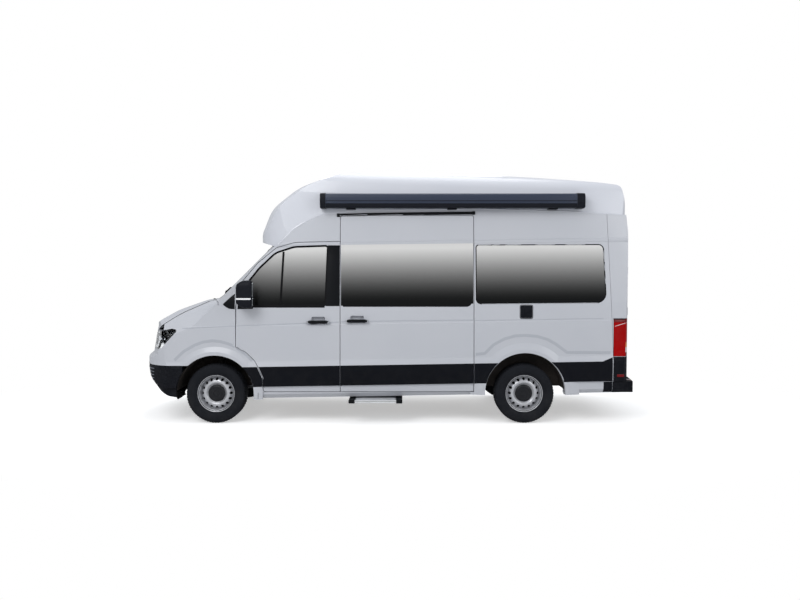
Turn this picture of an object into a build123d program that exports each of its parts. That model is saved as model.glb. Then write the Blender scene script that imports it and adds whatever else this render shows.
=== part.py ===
"""A high-roof camper van: steel panel body, moulded high roof, side awning, steel wheels and a sliding entrance step.

Millimetres. The front of the van points to -X, its left side (the sliding door side) to -Y, and +Z is up.
The origin is on the ground under the middle of the van's length and width.
"""

from build123d import *
from math import cos, pi, radians, sin, sqrt, tan
import os

os.makedirs("parts", exist_ok=True)

# Overall sizes of the van
overall_length = 5986
half_width = 1020
wheelbase = 3640
front_overhang = 994
rake = 0.016
front_x = -overall_length / 2
rear_x = overall_length / 2
front_axle_x = front_x + front_overhang
rear_axle_x = front_axle_x + wheelbase

# Walls, gaps and glass
door_thickness = 60
wall_thickness = 105
bay_thickness = 26
seat_clearance = 0.3
panel_gap = 7
glass_depth = 3
glass_thickness = 6
glass_lip = 24
slant_factor = 1.41
frame_margin = 62

# Wheels and tyres
tyre_radius = 350
tyre_width = 225
rim_radius = 203
barrel_radius = 190
rim_width = 168
half_track = 865
hub_face_y = 905
axle_height = tyre_radius

# Wheel arches
arch_radius = 460
rear_arch_radius = 470
rear_arch_lift = 18
flare_radius = 600
rear_flare_radius = 640
flare_drop = 34
flare_proud = 2
wing_flare_back = 10
side_flare_back = 75
housing_gap = 8
housing_thickness = 7

# Body side section: height at the front axle, half width, corner radius
section_rows = [
    (290, half_width - 72, 10),
    (338, half_width - 36, 10),
    (420, half_width - 30, 4),
    (430, half_width - 8, 6),
    (664, half_width, 0),
    (735, half_width - 17, 30),
    (1146, half_width - 21, 0),
    (1156, half_width - 29, 0),
    (1359, half_width - 36, 0),
    (2062, half_width - 90, 0),
    (2078, half_width - 84, 0),
    (2098, half_width - 84, 0),
    (2116, half_width - 96, 0),
]
section_top = (2600, half_width - 136)
sill_z = section_rows[0][0]
band_top_z = 675

# Nose side profile from the front axle: distance, height, corner radius
nose_pivot = 1006
nose_rows = [
    (-640, 285, 60),
    (-860, 330, 120),
    (-978, 520, 200),
    (-994, 640, 100),
    (-994, 764, 26),
    (-936, 812, 20),
    (-926, 880, 200),
    (-893, 1057, 60),
    (-880, 1136, 0),
]

# Bonnet side profile and windscreen line from the front axle: distance, height, corner radius
bonnet_pivot = 2500
screen_pivot = 3200
bonnet_rows = [
    (-1150, 925, 0),
    (-868, 1134, 60),
    (-795, 1206, 300),
    (-600, 1314, 900),
    (-262, 1436, 60),
    (-96, 1450, 0),
    (900, 1500, 0),
]
screen_foot = (-96, 1450)
screen_head = (475, 2027)

# Rounded edge between bonnet and fenders, at the front axle: half width, height, corner radius
crown_slope = 0.40
crown_rows = [
    (1001, 1240, 40),
    (905, 1430, 90),
    (700, 1540, 500),
]
crown_middle_z = 1600

# Plan corners
nose_corner_radius = 440
rear_bow_radius = 6000
rear_corner_radius = 115

# Rear face side profile from the front axle: distance, height, corner radius
rear_rows = [
    (4925, 200, 0),
    (4932, 1350, 1500),
    (4908, 1830, 2000),
    (4860, 2200, 1500),
    (4836, 2450, 0),
    (4780, 3100, 0),
]

# Line where the moulded roof meets the steel body, from the front axle: distance, height, corner radius
seam_rows = [
    (300, 2190, 0),
    (500, 2142, 0),
    (712, 2082, 25),
    (950, 2322, 300),
    (1240, 2462, 300),
    (1640, 2506, 900),
    (3056, 2532, 1500),
    (4280, 2494, 1500),
    (5100, 2440, 0),
]

# Moulded roof side profile from the front axle: distance, height, corner radius
roof_rows = [
    (430, 2040, 0),
    (424, 2250, 200),
    (545, 2560, 400),
    (850, 2812, 700),
    (1220, 2955, 700),
    (1900, 2990, 3000),
    (3400, 2950, 4000),
    (4560, 2846, 800),
    (4784, 2812, 75),
    (4862, 2480, 0),
    (4900, 2040, 0),
]
roof_half_width = 916
roof_front_radius = 2200
roof_corner_radius = 380
roof_rear_radius = 130
roof_draft = 4
roof_thickness = 38
roof_slope = -0.030
roof_crown = [(880, 2700, 0), (842, 2925, 170), (500, 3025, 1500)]

# Doors and windows, from the front axle: distance, height, corner radius
cab_door_front = 246
cab_door_rear = 1471
slide_door_rear = 3040
door_bottom_z = 378
flare_edge = 563
window_low_z = 1384
window_high_z = 2080
cab_opening_rows = [
    (cab_door_front, 905, 12),
    (cab_door_front + 8, 1591, 60),
    (500, 1888, 300),
    (720, 2070, 160),
    (940, 2133, 300),
    (cab_door_rear, 2146, 0),
    (cab_door_rear, door_bottom_z, 0),
    (flare_edge, door_bottom_z, 30),
    (flare_edge, 545, 90),
    (480, 738, 300),
    (360, 850, 60),
]
cab_glass_rows = [
    (330, window_low_z + 8, 20),
    (330, 1590, 60),
    (520, 1828, 400),
    (712, 2010, 220),
    (930, window_high_z, 300),
    (1325, window_high_z + 13, 25),
    (1298, window_low_z + 8, 25),
]
slide_opening_rows = [
    (cab_door_rear, door_bottom_z, 0),
    (cab_door_rear, 2452, 30),
    (slide_door_rear, 2452, 30),
    (slide_door_rear, door_bottom_z, 0),
]
slide_glass_rows = [
    (cab_door_rear + 28, window_low_z, 20),
    (cab_door_rear + 28, window_high_z, 20),
    (slide_door_rear - 28, window_high_z, 30),
    (slide_door_rear - 28, window_low_z, 60),
]
quarter_glass_rows = [
    (slide_door_rear + 26, window_low_z + 28, 60),
    (slide_door_rear + 26, window_high_z + 22, 30),
    (4560, window_high_z + 28, 60),
    (4590, window_low_z + 43, 110),
]
kitchen_glass_rows = [
    (1700, window_low_z, 60),
    (1700, window_high_z, 60),
    (2860, window_high_z, 60),
    (2860, window_low_z, 60),
]
flap_rows = [(3588, 1248, 12), (3588, 1390, 12), (3720, 1390, 12), (3720, 1248, 12)]

# Front end split lines, from the front axle: distance, height, corner radius
bonnet_line_rows = [
    (-1300, 1092, 0),
    (-735, 1092, 30),
    (-603, 1178, 300),
    (-421, 1297, 900),
    (-124, 1427, 0),
    (400, 1640, 0),
]
lamp_rows = [
    (-1200, 868, 0),
    (-700, 874, 10),
    (-632, 888, 40),
    (-432, 1104, 20),
    (-515, 1118, 30),
    (-735, 1078, 20),
    (-1200, 1078, 0),
]
lamp_inner_y = 545
bumper_top_z = 688
nose_panel_rear = -610
cowl_depth = 150
tail_split_top = 4607
tail_split_low = 4671
lamp_low_z, lamp_high_z = 800, 1240
bumper_corner_z = 794
rear_door_half = 885
rear_door_low_z, rear_door_high_z = 604, 2392
rear_hinge_out = 12


def at(distance):
    """The x position of a distance measured back from the front axle."""
    return front_axle_x + distance


def rounded_face(rows):
    """A flat face in XY from (a, b, radius) corner rows; a radius of 0 leaves that corner sharp."""
    points = [Vector(row[0], row[1]) for row in rows]
    corners = []
    for i, (point, row) in enumerate(zip(points, rows)):
        before = (points[i - 1] - point).normalized()
        after = (points[(i + 1) % len(points)] - point).normalized()
        if row[2] == 0:
            corners.append((point, None, point))
            continue
        half_angle = radians(before.get_angle(after)) / 2
        cut_back = row[2] / tan(half_angle)
        towards = (before + after).normalized()
        middle = point + towards * (row[2] / sin(half_angle) - row[2])
        corners.append((point + before * cut_back, middle, point + after * cut_back))
    edges = []
    for i, (start, middle, end) in enumerate(corners):
        if middle is not None:
            edges.append(Edge.make_three_point_arc(start, middle, end))
        following = corners[(i + 1) % len(corners)][0]
        if (following - end).length > 1e-4:
            edges.append(Edge.make_line(end, following))
    return Face(Wire(edges))


def shifted(rows, dx=0.0, dz=0.0):
    """Outline rows in the van's frame, moved by dx and dz."""
    return [(at(row[0]) + dx, row[1] + dz, row[2]) for row in rows]


def outline(rows, grow=0.0):
    """The flat side-view face of outline rows, grown or shrunk all round."""
    face = rounded_face(shifted(rows))
    return offset(face, grow, kind=Kind.INTERSECTION).face() if grow else face


def side_prism(face, y_from=-1300, y_to=1300):
    """A side-view face carried across the van from y_from to y_to."""
    plane = Plane((0, y_from, 0), x_dir=(1, 0, 0), z_dir=(0, -1, 0))
    return extrude(plane * face, amount=y_to - y_from, dir=(0, 1, 0))


def end_prism(face, x_from, x_to):
    """A face drawn in the rear view (Y, Z) carried along the van from x_from to x_to."""
    plane = Plane((x_from, 0, 0), x_dir=(0, 1, 0), z_dir=(1, 0, 0))
    return extrude(plane * face, amount=x_to - x_from, dir=(1, 0, 0))


def box(x0, x1, y0, y1, z0, z1):
    """A block between two corners."""
    size = (x1 - x0, y1 - y0, z1 - z0)
    return Pos((x0 + x1) / 2, (y0 + y1) / 2, (z0 + z1) / 2) * Box(*size)


def rod(start, end, radius):
    """A round bar from one point to another."""
    start, end = Vector(*start), Vector(*end)
    length = (end - start).length
    return Plane(origin=start, z_dir=end - start) * Pos(0, 0, length / 2) * Cylinder(radius, length)


def mirrored(shape):
    """The same shape on the other side of the van."""
    return mirror(shape, about=Plane.XZ)


def both(shape):
    """A left piece together with its mirror image."""
    return [*shape.solids(), *mirrored(shape).solids()]


def save(name, *shapes):
    """Write one node from its solids."""
    solids = []
    for shape in shapes:
        solids.extend(shape.solids() if hasattr(shape, "solids") else [shape])
    whole = solids[0] if len(solids) == 1 else Compound(children=solids)
    export_step(whole, f"parts/{name}.step")
    return whole


span = 5000


def section_form(inset):
    """The body between its two sides, drawn once and carried back along the raked lines."""
    start = front_x - 100
    lift = rake * (start - front_axle_x)
    rows = [(-y + inset, z + lift, r) for z, y, r in section_rows]
    if inset:
        rows[0] = (rows[0][0], -200, 0)
        rows[1] = (rows[1][0], rows[1][1], 0)
    rows[0] = (rows[0][0], rows[0][1], 0)
    rows += [(-section_top[1] + inset, section_top[0] + lift, 0)]
    full = rows + [(-a, b, r) for a, b, r in reversed(rows)]
    face = Plane((start, 0, 0), x_dir=(0, 1, 0), z_dir=(1, 0, 0)) * rounded_face(full)
    return extrude(face, amount=overall_length + 400, dir=(1, 0, rake))


def plan_form(inset):
    """The van seen from above: bowed nose, round corners, nearly flat tail."""
    tail_x = at(rear_rows[0][0])
    pivot_x = at(nose_pivot)
    strip = Rectangle(2 * overall_length, 2 * (half_width + 6))
    nose = Pos(pivot_x, 0) * Circle(nose_pivot + front_overhang + 1)
    tail = Pos(tail_x - rear_bow_radius, 0) * Circle(rear_bow_radius)
    front = strip & nose & (Pos(pivot_x - span / 2, 0) * Rectangle(span, span))
    front = fillet(front.vertices().group_by(Axis.X)[0], nose_corner_radius)
    rear = strip & tail & (Pos(pivot_x + span / 2, 0) * Rectangle(span, span))
    rear = fillet(rear.vertices().group_by(Axis.X)[-1], rear_corner_radius)
    whole = front + rear
    if inset:
        whole = offset(whole, -inset)
    return extrude(whole, amount=3400)


def turned_form(rows, pivot, shift, top=3400):
    """A side profile turned about an upright axis, so that it bows in plan, with all behind the axis."""
    points = shifted(rows, dx=shift)
    low = -50
    loop = [(at(pivot), low, 0), (points[0][0], low, 0)] + points
    if top > points[-1][1]:
        loop.append((points[-1][0], top, 0))
    loop.append((at(pivot), top, 0))
    turned = revolve(Plane.XZ * rounded_face(loop), Axis((at(pivot), 0, 0), (0, 0, 1)), 360)
    return turned + box(at(pivot), rear_x + 500, -1300, 1300, low, top)


def bonnet_form(inset):
    """The front bay: the bonnet's bowed surface with its rounded edges over the fenders."""
    shift = slant_factor * inset
    rows = [(y - inset * 1.2, z - inset, r) for y, z, r in crown_rows]
    half = [(1200, -900, 0), (1200, rows[0][1] - 2, 0)] + rows
    half = half + [(0, crown_middle_z - inset, 0)] + [(-a, b, r) for a, b, r in reversed(rows)]
    half = half + [(-1200, rows[0][1] - 2, 0), (-1200, -900, 0)]
    start = front_x - 100
    lift = crown_slope * (start - front_axle_x)
    face = rounded_face([(a, b + lift, r) for a, b, r in half])
    plane = Plane((start, 0, 0), x_dir=(0, 1, 0), z_dir=(1, 0, 0))
    crown = extrude(plane * face, amount=1900, dir=(1, 0, crown_slope))
    bowed = turned_form(bonnet_rows, bonnet_pivot, shift, bonnet_rows[-1][1])
    return crown & bowed & box(front_x - 50, at(700), -1300, 1300, -50, 1700)


def screen_form(inset):
    """The cab behind the windscreen's bowed surface, carried down to the ground."""
    slope = (screen_head[0] - screen_foot[0]) / (screen_head[1] - screen_foot[1])
    low = (screen_foot[0] - slope * screen_foot[1], 0, 0)
    high = (screen_foot[0] + slope * (3000 - screen_foot[1]), 3000, 0)
    return turned_form([low, high], screen_pivot, slant_factor * inset)


def van_form(inset):
    """The outer shape of the steel body, moved inwards by inset."""
    tail_rows = shifted(rear_rows, dx=-inset)
    tail = [(front_x - 500, -200, 0), (tail_rows[0][0], -200, 0)]
    tail += tail_rows[1:] + [(front_x - 500, tail_rows[-1][1], 0)]
    form = section_form(inset) & plan_form(inset) & side_prism(rounded_face(tail))
    form = form & (screen_form(inset) + bonnet_form(inset))
    return form & turned_form(nose_rows, nose_pivot, slant_factor * inset)


def roof_form(inset):
    """The moulded high roof as a full block, moved inwards by inset."""
    pivot = roof_rows[1][0] + roof_front_radius
    strip = Rectangle(2 * overall_length, 2 * (roof_half_width - inset))
    bow = Pos(at(pivot), 0) * Circle(roof_front_radius + 1)
    front = strip & bow & (Pos(at(pivot) - span / 2, 0) * Rectangle(span, span))
    front = fillet(front.vertices().group_by(Axis.X)[0], roof_corner_radius - inset)
    tail_x = at(roof_rows[-1][0]) - inset
    tail = Pos(tail_x - rear_bow_radius, 0) * Circle(rear_bow_radius)
    rear = strip & tail & (Pos(at(pivot) + span / 2, 0) * Rectangle(span, span))
    rear = fillet(rear.vertices().group_by(Axis.X)[-1], roof_rear_radius - inset / 2)
    block = extrude(front + rear, amount=3400)
    front_rows = roof_rows[:5]
    front_rows = [(a + 0.7 * inset, b - 0.7 * inset, r) for a, b, r in front_rows]
    top_z = max(row[1] for row in roof_rows) - inset
    front_rows.append((pivot - 60, top_z + 60, 0))
    block = block & turned_form(front_rows, pivot, 0, top_z + 60)
    rear_rows_in = [(at(a) - inset, b - inset, r) for a, b, r in roof_rows[4:]]
    rear_rows_in = [(at(-500), 2000, 0), (at(-500), rear_rows_in[0][1], 0)] + rear_rows_in[1:]
    block = block & side_prism(rounded_face(rear_rows_in))
    crown = [(a - inset, b - inset, r) for a, b, r in roof_crown]
    foot = crown[0][0] + 700 * tan(radians(roof_draft))
    crown = [(foot, crown[0][1] - 700, 0)] + crown
    full = crown + [(-a, b, r) for a, b, r in reversed(crown)]
    start = at(400)
    lift = roof_slope * (start - at(2100))
    face = rounded_face([(a, b + lift, r) for a, b, r in full])
    plane = Plane((start, 0, 0), x_dir=(0, 1, 0), z_dir=(1, 0, 0))
    return block & extrude(plane * face, amount=4800, dir=(1, 0, roof_slope))


def above_seam(lift, front_lift=None):
    """Everything above the line between moulded roof and steel body."""
    rows = shifted(seam_rows, dz=lift)
    if front_lift is not None:
        rows[:2] = [(a, b + front_lift, r) for a, b, r in rows[:2]]
    return side_prism(rounded_face(rows + [(rows[-1][0], 3600, 0), (rows[0][0], 3600, 0)]))


# Forms that every panel is cut from
outer = van_form(0)
door_back = van_form(door_thickness)
jamb_face = van_form(door_thickness + seat_clearance)
cabin = van_form(wall_thickness)
bay_back = van_form(bay_thickness)
bay_seat = van_form(bay_thickness + seat_clearance)
glass_front = van_form(glass_depth)
glass_back = van_form(glass_depth + glass_thickness)
glass_seat = van_form(glass_depth + glass_thickness + seat_clearance)

left_side = box(front_x - 50, rear_x + 50, -1300, -520, -50, 3400)
below_seam = shifted(seam_rows) + [(at(5100), -50, 0), (at(-1400), -50, 0), (at(-1400), seam_rows[0][1], 0)]
below_seam = side_prism(rounded_face(below_seam))
half_gap = panel_gap / 2
front_arch = Pos(front_axle_x, 0, axle_height) * Rot(90, 0, 0) * Cylinder(arch_radius, 3000)
rear_arch_z = axle_height + rear_arch_lift
rear_arch = Pos(rear_axle_x, 0, rear_arch_z) * Rot(90, 0, 0) * Cylinder(rear_arch_radius, 3000)
middle_keep = box(front_x - 50, rear_x + 50, -520, 520, -50, 3400)
front_arch_cut = front_arch - middle_keep
rear_arch_cut = rear_arch - middle_keep


def flare(axle_x, centre_z, inner_radius, outer_radius, back_depth):
    """A left wheel arch flare: a shallow cone round the opening, with a flat ring behind it."""
    depth = flare_drop
    face_y = half_width + flare_proud
    cone = Cone(outer_radius, inner_radius + 40, depth)
    cone = Pos(axle_x, -(face_y - depth / 2), centre_z) * Rot(90, 0, 0) * cone
    back = Pos(axle_x, -(face_y - depth - back_depth / 2), centre_z) * Rot(90, 0, 0)
    back = back * Cylinder(outer_radius, back_depth)
    opening = Pos(axle_x, -face_y, centre_z) * Rot(90, 0, 0) * Cylinder(inner_radius, 400)
    return (cone + back) - opening


def glass_pane(rows, y_low, y_high):
    """A bonded side window pane that follows the body's section."""
    prism = side_prism(outline(rows, -2), y_low, y_high)
    return (prism & glass_front) - glass_back


def window_cut(solid, rows, y_low, y_high):
    """The rebate for a bonded pane and the see-through hole inside it."""
    rebate = side_prism(outline(rows), y_low, y_high) - glass_seat
    hole = side_prism(outline(rows, -glass_lip), y_low, y_high)
    return solid - rebate - hole


near = (-1300, -560)
far = (560, 1300)

# Door leaves of the left side, cut from the outer skin
cab_line = outline(cab_opening_rows, -half_gap)
slide_line = outline(slide_opening_rows, -half_gap)
door_leaf = outer - door_back - section_form(door_thickness)
cab_door = door_leaf & side_prism(cab_line, *near)
cab_door = window_cut(cab_door, cab_glass_rows, *near)
sliding_door = (outer & side_prism(slide_line, *near)) - door_back
sliding_door = window_cut(sliding_door, slide_glass_rows, *near)

# Handle bowls and bars on the doors: middle distance, height
handle_rows = [(1216, 1201), (1671, 1213)]
handle_length, handle_height, handle_depth = 256, 34, 44


def handle_cut(distance, height):
    """The hollow behind a door handle."""
    bowl = Pos(at(distance), -half_width + 20, height + 6) * Sphere(92)
    return bowl & box(at(distance) - 80, at(distance) + 80, -1300, -940, height - 30, height + 60)


def handle_bar(distance, height):
    """A door handle: a flat bar on two feet."""
    skin_y = -(half_width - 21)
    half_length, half_height = handle_length / 2, handle_height / 2
    bar = box(-half_length, half_length, skin_y - 34, skin_y - 16, -half_height, half_height)
    bar = fillet(bar.edges().filter_by(Axis.Y), half_height - 2)
    feet = [box(a - 16, a + 16, skin_y - 20, skin_y + 40, -13, 13) for a in (-104, 104)]
    return Pos(at(distance), 0, height) * (bar + feet)


cab_door = cab_door - handle_cut(*handle_rows[0]) + handle_bar(*handle_rows[0])
sliding_door = sliding_door - handle_cut(*handle_rows[1]) + handle_bar(*handle_rows[1])
save("cab_door_left", cab_door)
save("cab_door_right", mirrored(cab_door))
save("sliding_door", sliding_door)

cab_glass = glass_pane(cab_glass_rows, *near)
save("cab_glass_left", cab_glass)
save("cab_glass_right", mirrored(cab_glass))
quarter_glass = glass_pane(quarter_glass_rows, *near)
kitchen_glass = glass_pane(kitchen_glass_rows, *far)
slide_glass = glass_pane(slide_glass_rows, *near)
save("side_windows", slide_glass, quarter_glass, mirrored(quarter_glass), kitchen_glass)

# Body sides: outer panel, sills, roof rail and the door frames behind the doors
frame_front = cab_door_front - frame_margin
screen_post_x = 700
side_front_cut = box(front_x - 50, at(screen_post_x), -1300, -560, door_bottom_z - half_gap, 3400) - jamb_face
tail_line = [
    (tail_split_top, 2600),
    (tail_split_top, 2400),
    (tail_split_low, lamp_low_z),
    (tail_split_low, -50),
]
tail_points = [(at(a), b, 0) for a, b in tail_line]
before_tail = side_prism(rounded_face(tail_points + [(at(frame_front), -50, 0), (at(frame_front), 2600, 0)]))
side = (outer - cabin) & box(at(frame_front), rear_x, -1300, -770, -50, 3400)
side = side & before_tail & below_seam
rear_flare = flare(rear_axle_x, rear_arch_z, rear_arch_radius, rear_flare_radius, side_flare_back)
side = side + (rear_flare & before_tail & box(at(2900), at(4600), -1300, -700, 345, 1300))
wing_end = at(flare_edge - half_gap) + seat_clearance
wing_room = box(at(frame_front) - 1, wing_end, -1300, -560, -50, door_bottom_z)
side = side - side_front_cut - (wing_room - jamb_face)


def door_opening(solid, rows):
    """The opening for a door: full size down to the frame, smaller inside it, so the frame backs the door."""
    wide = side_prism(outline(rows, half_gap), *near) - jamb_face
    narrow = side_prism(outline(rows, -frame_margin), *near)
    return solid - wide - narrow


side_plain = window_cut(side, quarter_glass_rows, *near) - rear_arch_cut - front_arch_cut
flap_hole = side_prism(outline(flap_rows, 3), *near) - glass_seat
side_left = door_opening(door_opening(side_plain, cab_opening_rows), slide_opening_rows) - flap_hole
side_right = window_cut(mirrored(door_opening(side_plain, cab_opening_rows)), kitchen_glass_rows, *far)
save("side_left", side_left)
save("side_right", side_right)

# Front wings
bonnet_line = shifted(bonnet_line_rows)
bonnet_top = [(at(400), 2600, 0), (at(-1300), 2600, 0)]
bonnet_face = rounded_face(bonnet_line + bonnet_top)
bonnet_zone = side_prism(offset(bonnet_face, -half_gap, kind=Kind.INTERSECTION).face())
bonnet_over = side_prism(offset(bonnet_face, half_gap, kind=Kind.INTERSECTION).face())
lamp_prism = side_prism(outline(lamp_rows, seat_clearance), -1300, -lamp_inner_y + seat_clearance)
lamp_prism = lamp_prism + mirrored(lamp_prism)
cowl_ring = Pos(at(bonnet_pivot), 0) * Cylinder(bonnet_pivot + cowl_depth, 6000)
wing_zone = box(at(nose_panel_rear + seat_clearance), at(flare_edge + 20), -1300, -430, sill_z, 1500)
wing = (outer - bay_back) & wing_zone
front_flare = flare(front_axle_x, axle_height, arch_radius, flare_radius, wing_flare_back)
wing = wing + (front_flare & box(at(-470), at(flare_edge + 40), -1300, -900, sill_z, 1300))
behind_bumper = box(front_x - 50, at(-300), -1300, -430, -50, bumper_top_z)
bonnet_room = bonnet_over & box(front_x, at(cab_door_front), -1300, 1300, 0, 2000)
wing = wing - bonnet_room - lamp_prism - behind_bumper
wing = wing - front_arch_cut - side_prism(outline(cab_opening_rows, half_gap), *near)
sill_end = box(at(flare_edge - half_gap), at(700), -1300, -430, -50, door_bottom_z)
wing = wing - sill_end - box(at(cab_door_front - half_gap), at(700), -1300, -430, 1000, 1600)
cab_foot_z = 1395
cab_ring = extrude(Circle(bonnet_pivot + cowl_depth), amount=600)
cab_ring = Pos(at(bonnet_pivot), 0, cab_foot_z - seat_clearance) * cab_ring
edge_band = offset(bonnet_face, 14, kind=Kind.INTERSECTION).face()
edge_band = edge_band - offset(bonnet_face, -34, kind=Kind.INTERSECTION).face()
wing_edge = (outer - door_back) & side_prism(edge_band, -1300, -560)
wing_edge = wing_edge & box(at(-600), at(60), -1300, -560, 900, 1500)
wing_edge = wing_edge - (bonnet_over - bay_seat)
wing = wing + (wing_edge - lamp_prism) - cab_ring
save("front_wings", *both(wing))

# Bonnet
bonnet = (outer - bay_back) & bonnet_zone & box(front_x, at(300), -1300, 1300, 800, 1560)
bonnet = bonnet - cowl_ring
save("bonnet", bonnet)

# Cowl, windscreen posts and header
post_zone = box(at(-400), at(screen_post_x - seat_clearance), -1300, 1300, 1300, 2400)
screen_frame = (outer - door_back) & post_zone & below_seam
cowl_edge = Cylinder(bonnet_pivot + cowl_depth - panel_gap, 6000)
screen_frame = screen_frame & (Pos(at(bonnet_pivot), 0) * cowl_edge)
screen_frame = screen_frame - box(at(-500), at(400), -1300, 1300, 1200, cab_foot_z)
door_room = side_prism(outline(cab_opening_rows, half_gap), *near)
screen_frame = screen_frame - door_room - mirrored(door_room)
screen_rows_front = [(-872, 1492, 90), (-800, 2052, 90), (800, 2052, 90), (872, 1492, 90)]
screen_face = rounded_face(screen_rows_front)
screen_hole = offset(screen_face, -glass_lip, kind=Kind.INTERSECTION).face()
screen_hole = end_prism(screen_hole, at(-400), at(screen_post_x))
screen_rebate = end_prism(screen_face, at(-400), at(screen_post_x)) - glass_seat
screen_frame = screen_frame - screen_hole - screen_rebate
save("screen_frame", screen_frame)
screen_pane = end_prism(offset(screen_face, -2).face(), at(-400), at(screen_post_x)) & glass_front
save("windscreen", screen_pane - glass_back)

# Nose panel, headlamps, grille and bumper
nose_zone = box(front_x - 50, at(nose_panel_rear), -1300, 1300, bumper_top_z, 1092)
nose_panel = (outer - bay_back) & nose_zone
nose_panel = nose_panel - bonnet_over - lamp_prism
grille_rows = [(-440, 838, 40), (-500, 1040, 40), (500, 1040, 40), (440, 838, 40)]
grille_face = rounded_face(grille_rows)
nose_panel = nose_panel - end_prism(grille_face, at(-1100), at(-700)) - front_arch_cut
save("nose_panel", nose_panel)

grille_zone = end_prism(offset(grille_face, -seat_clearance).face(), at(-1100), at(-700))
slats = [box(at(-1100), at(-700), -520, 520, z, z + 22) for z in (838, 884, 930, 976, 1018)]
uprights = [box(at(-1100), at(-700), y - 5, y + 5, 838, 1040) for y in (-300, -100, 100, 300)]
rim_ring = grille_zone - end_prism(offset(grille_face, -18).face(), at(-1100), at(-700))
grille = ((outer - bay_back) & grille_zone) & (rim_ring + slats + uprights)
save("grille", grille)

lamp_prism_left = side_prism(outline(lamp_rows), -1300, -lamp_inner_y)
lamp = (outer & lamp_prism_left) - door_back
save("headlamps", *both(lamp))

bumper_zone = box(front_x - 50, at(-380), -1300, 1300, 200, bumper_top_z - seat_clearance)
front_bumper = ((outer - door_back) & bumper_zone) - front_arch_cut
intake_rows = [(-520, 420, 30), (-560, 600, 30), (560, 600, 30), (520, 420, 30)]
intake = end_prism(rounded_face(intake_rows), at(-1100), at(-700))
louvres = [box(at(-1100), at(-700), -600, 600, z, z + 20) for z in (452, 500, 548)]
front_bumper = front_bumper - (intake - louvres)
tow_eye_y = 640
tow_eye_z = 560
tow_bore = Pos(at(-960), tow_eye_y, tow_eye_z) * Rot(0, 90, 0) * Cylinder(12, 400)
front_bumper = front_bumper - tow_bore
save("front_bumper", front_bumper)

# Rear end: corner pillars with the door frame, doors, lamps, bumper
rear_rows_view = [
    (-rear_door_half, rear_door_low_z, 40),
    (-rear_door_half + 70, rear_door_high_z, 60),
    (rear_door_half - 70, rear_door_high_z, 60),
    (rear_door_half, rear_door_low_z, 40),
]
rear_face = rounded_face(rear_rows_view)
rear_zone = (at(4550), rear_x + 50)
rear_wide = end_prism(offset(rear_face, half_gap, kind=Kind.INTERSECTION).face(), *rear_zone) - jamb_face
rear_narrow = end_prism(offset(rear_face, -frame_margin, kind=Kind.INTERSECTION).face(), *rear_zone)
after_line = [(a + half_gap, b, r) for a, b, r in tail_points]
after_tail = side_prism(rounded_face(after_line + [(rear_x + 50, -50, 0), (rear_x + 50, 2600, 0)]))
tail_lamp_prism = box(at(4659 + 16), rear_x + 50, -1300, -rear_door_half - 8, lamp_low_z, lamp_high_z)
tail_lamp_wide = box(at(4659 + 13), rear_x + 50, -1300, -rear_door_half - 5, lamp_low_z - 3, lamp_high_z + 3)
corner_zone = box(at(4600), rear_x + 50, -1300, -rear_door_half - 5, -50, bumper_corner_z)
step_zone = box(at(4600), rear_x + 50, -1300, 1300, -50, rear_door_low_z - 40)
rear_frame = (outer - cabin) & after_tail & below_seam
rear_frame = rear_frame - rear_wide - rear_narrow
lamp_pocket = tail_lamp_wide - jamb_face
rear_frame = rear_frame - lamp_pocket - mirrored(lamp_pocket)
bumper_room = (corner_zone + mirrored(corner_zone) + step_zone) - jamb_face
rear_frame = rear_frame - bumper_room - box(at(4500), rear_x, -1300, 1300, -50, 420)
save("rear_frame", rear_frame)

tail_lamp = (outer & tail_lamp_prism) - door_back
save("tail_lamps", *both(tail_lamp))

half_door_face = rounded_face([
    (-rear_door_half + half_gap, rear_door_low_z + half_gap, 30),
    (-rear_door_half + 70 + half_gap, rear_door_high_z - half_gap, 50),
    (-half_gap, rear_door_high_z - half_gap, 8),
    (-half_gap, rear_door_low_z + half_gap, 8),
])
rear_glass_rows = [(-740, 1400, 60), (-700, 2060, 60), (-110, 2060, 60), (-110, 1400, 60)]
rear_glass_face = rounded_face(rear_glass_rows)
rear_door = (outer & end_prism(half_door_face, *rear_zone)) - door_back
rear_rebate = end_prism(rear_glass_face, *rear_zone) - glass_seat
rear_hole = end_prism(offset(rear_glass_face, -glass_lip, kind=Kind.INTERSECTION).face(), *rear_zone)
rear_door = rear_door - rear_rebate - rear_hole
save("rear_door_left", rear_door)
save("rear_door_right", mirrored(rear_door))
rear_pane = (end_prism(offset(rear_glass_face, -2).face(), *rear_zone) & glass_front) - glass_back
save("rear_glass_left", rear_pane)
save("rear_glass_right", mirrored(rear_pane))

bumper_low_z, bumper_high_z = 352, 560
corner_box = box(at(4600), rear_x, -1300, -rear_door_half - 8, bumper_low_z, bumper_corner_z - 3)
corner_piece = (outer - door_back) & after_tail & corner_box
step_line = Pos(at(4925) - rear_bow_radius, 0) * Circle(rear_bow_radius + 67)
step_plan = step_line & (Pos(at(4600) + 250, 0) * Rectangle(560, 1960))
step_bar = extrude(step_plan, amount=500) & box(at(4660), rear_x, -980, 980, bumper_low_z + 20, bumper_high_z)
step_bar = (step_bar & after_tail) - door_back
rear_bumper = step_bar + corner_piece + mirrored(corner_piece)
save("rear_bumper", rear_bumper)

# Moulded high roof
roof = roof_form(0) & above_seam(seat_clearance)
hollow = roof_form(roof_thickness) & above_seam(-30, roof_thickness + 30)
roof = roof - hollow
save("roof", roof)

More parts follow.
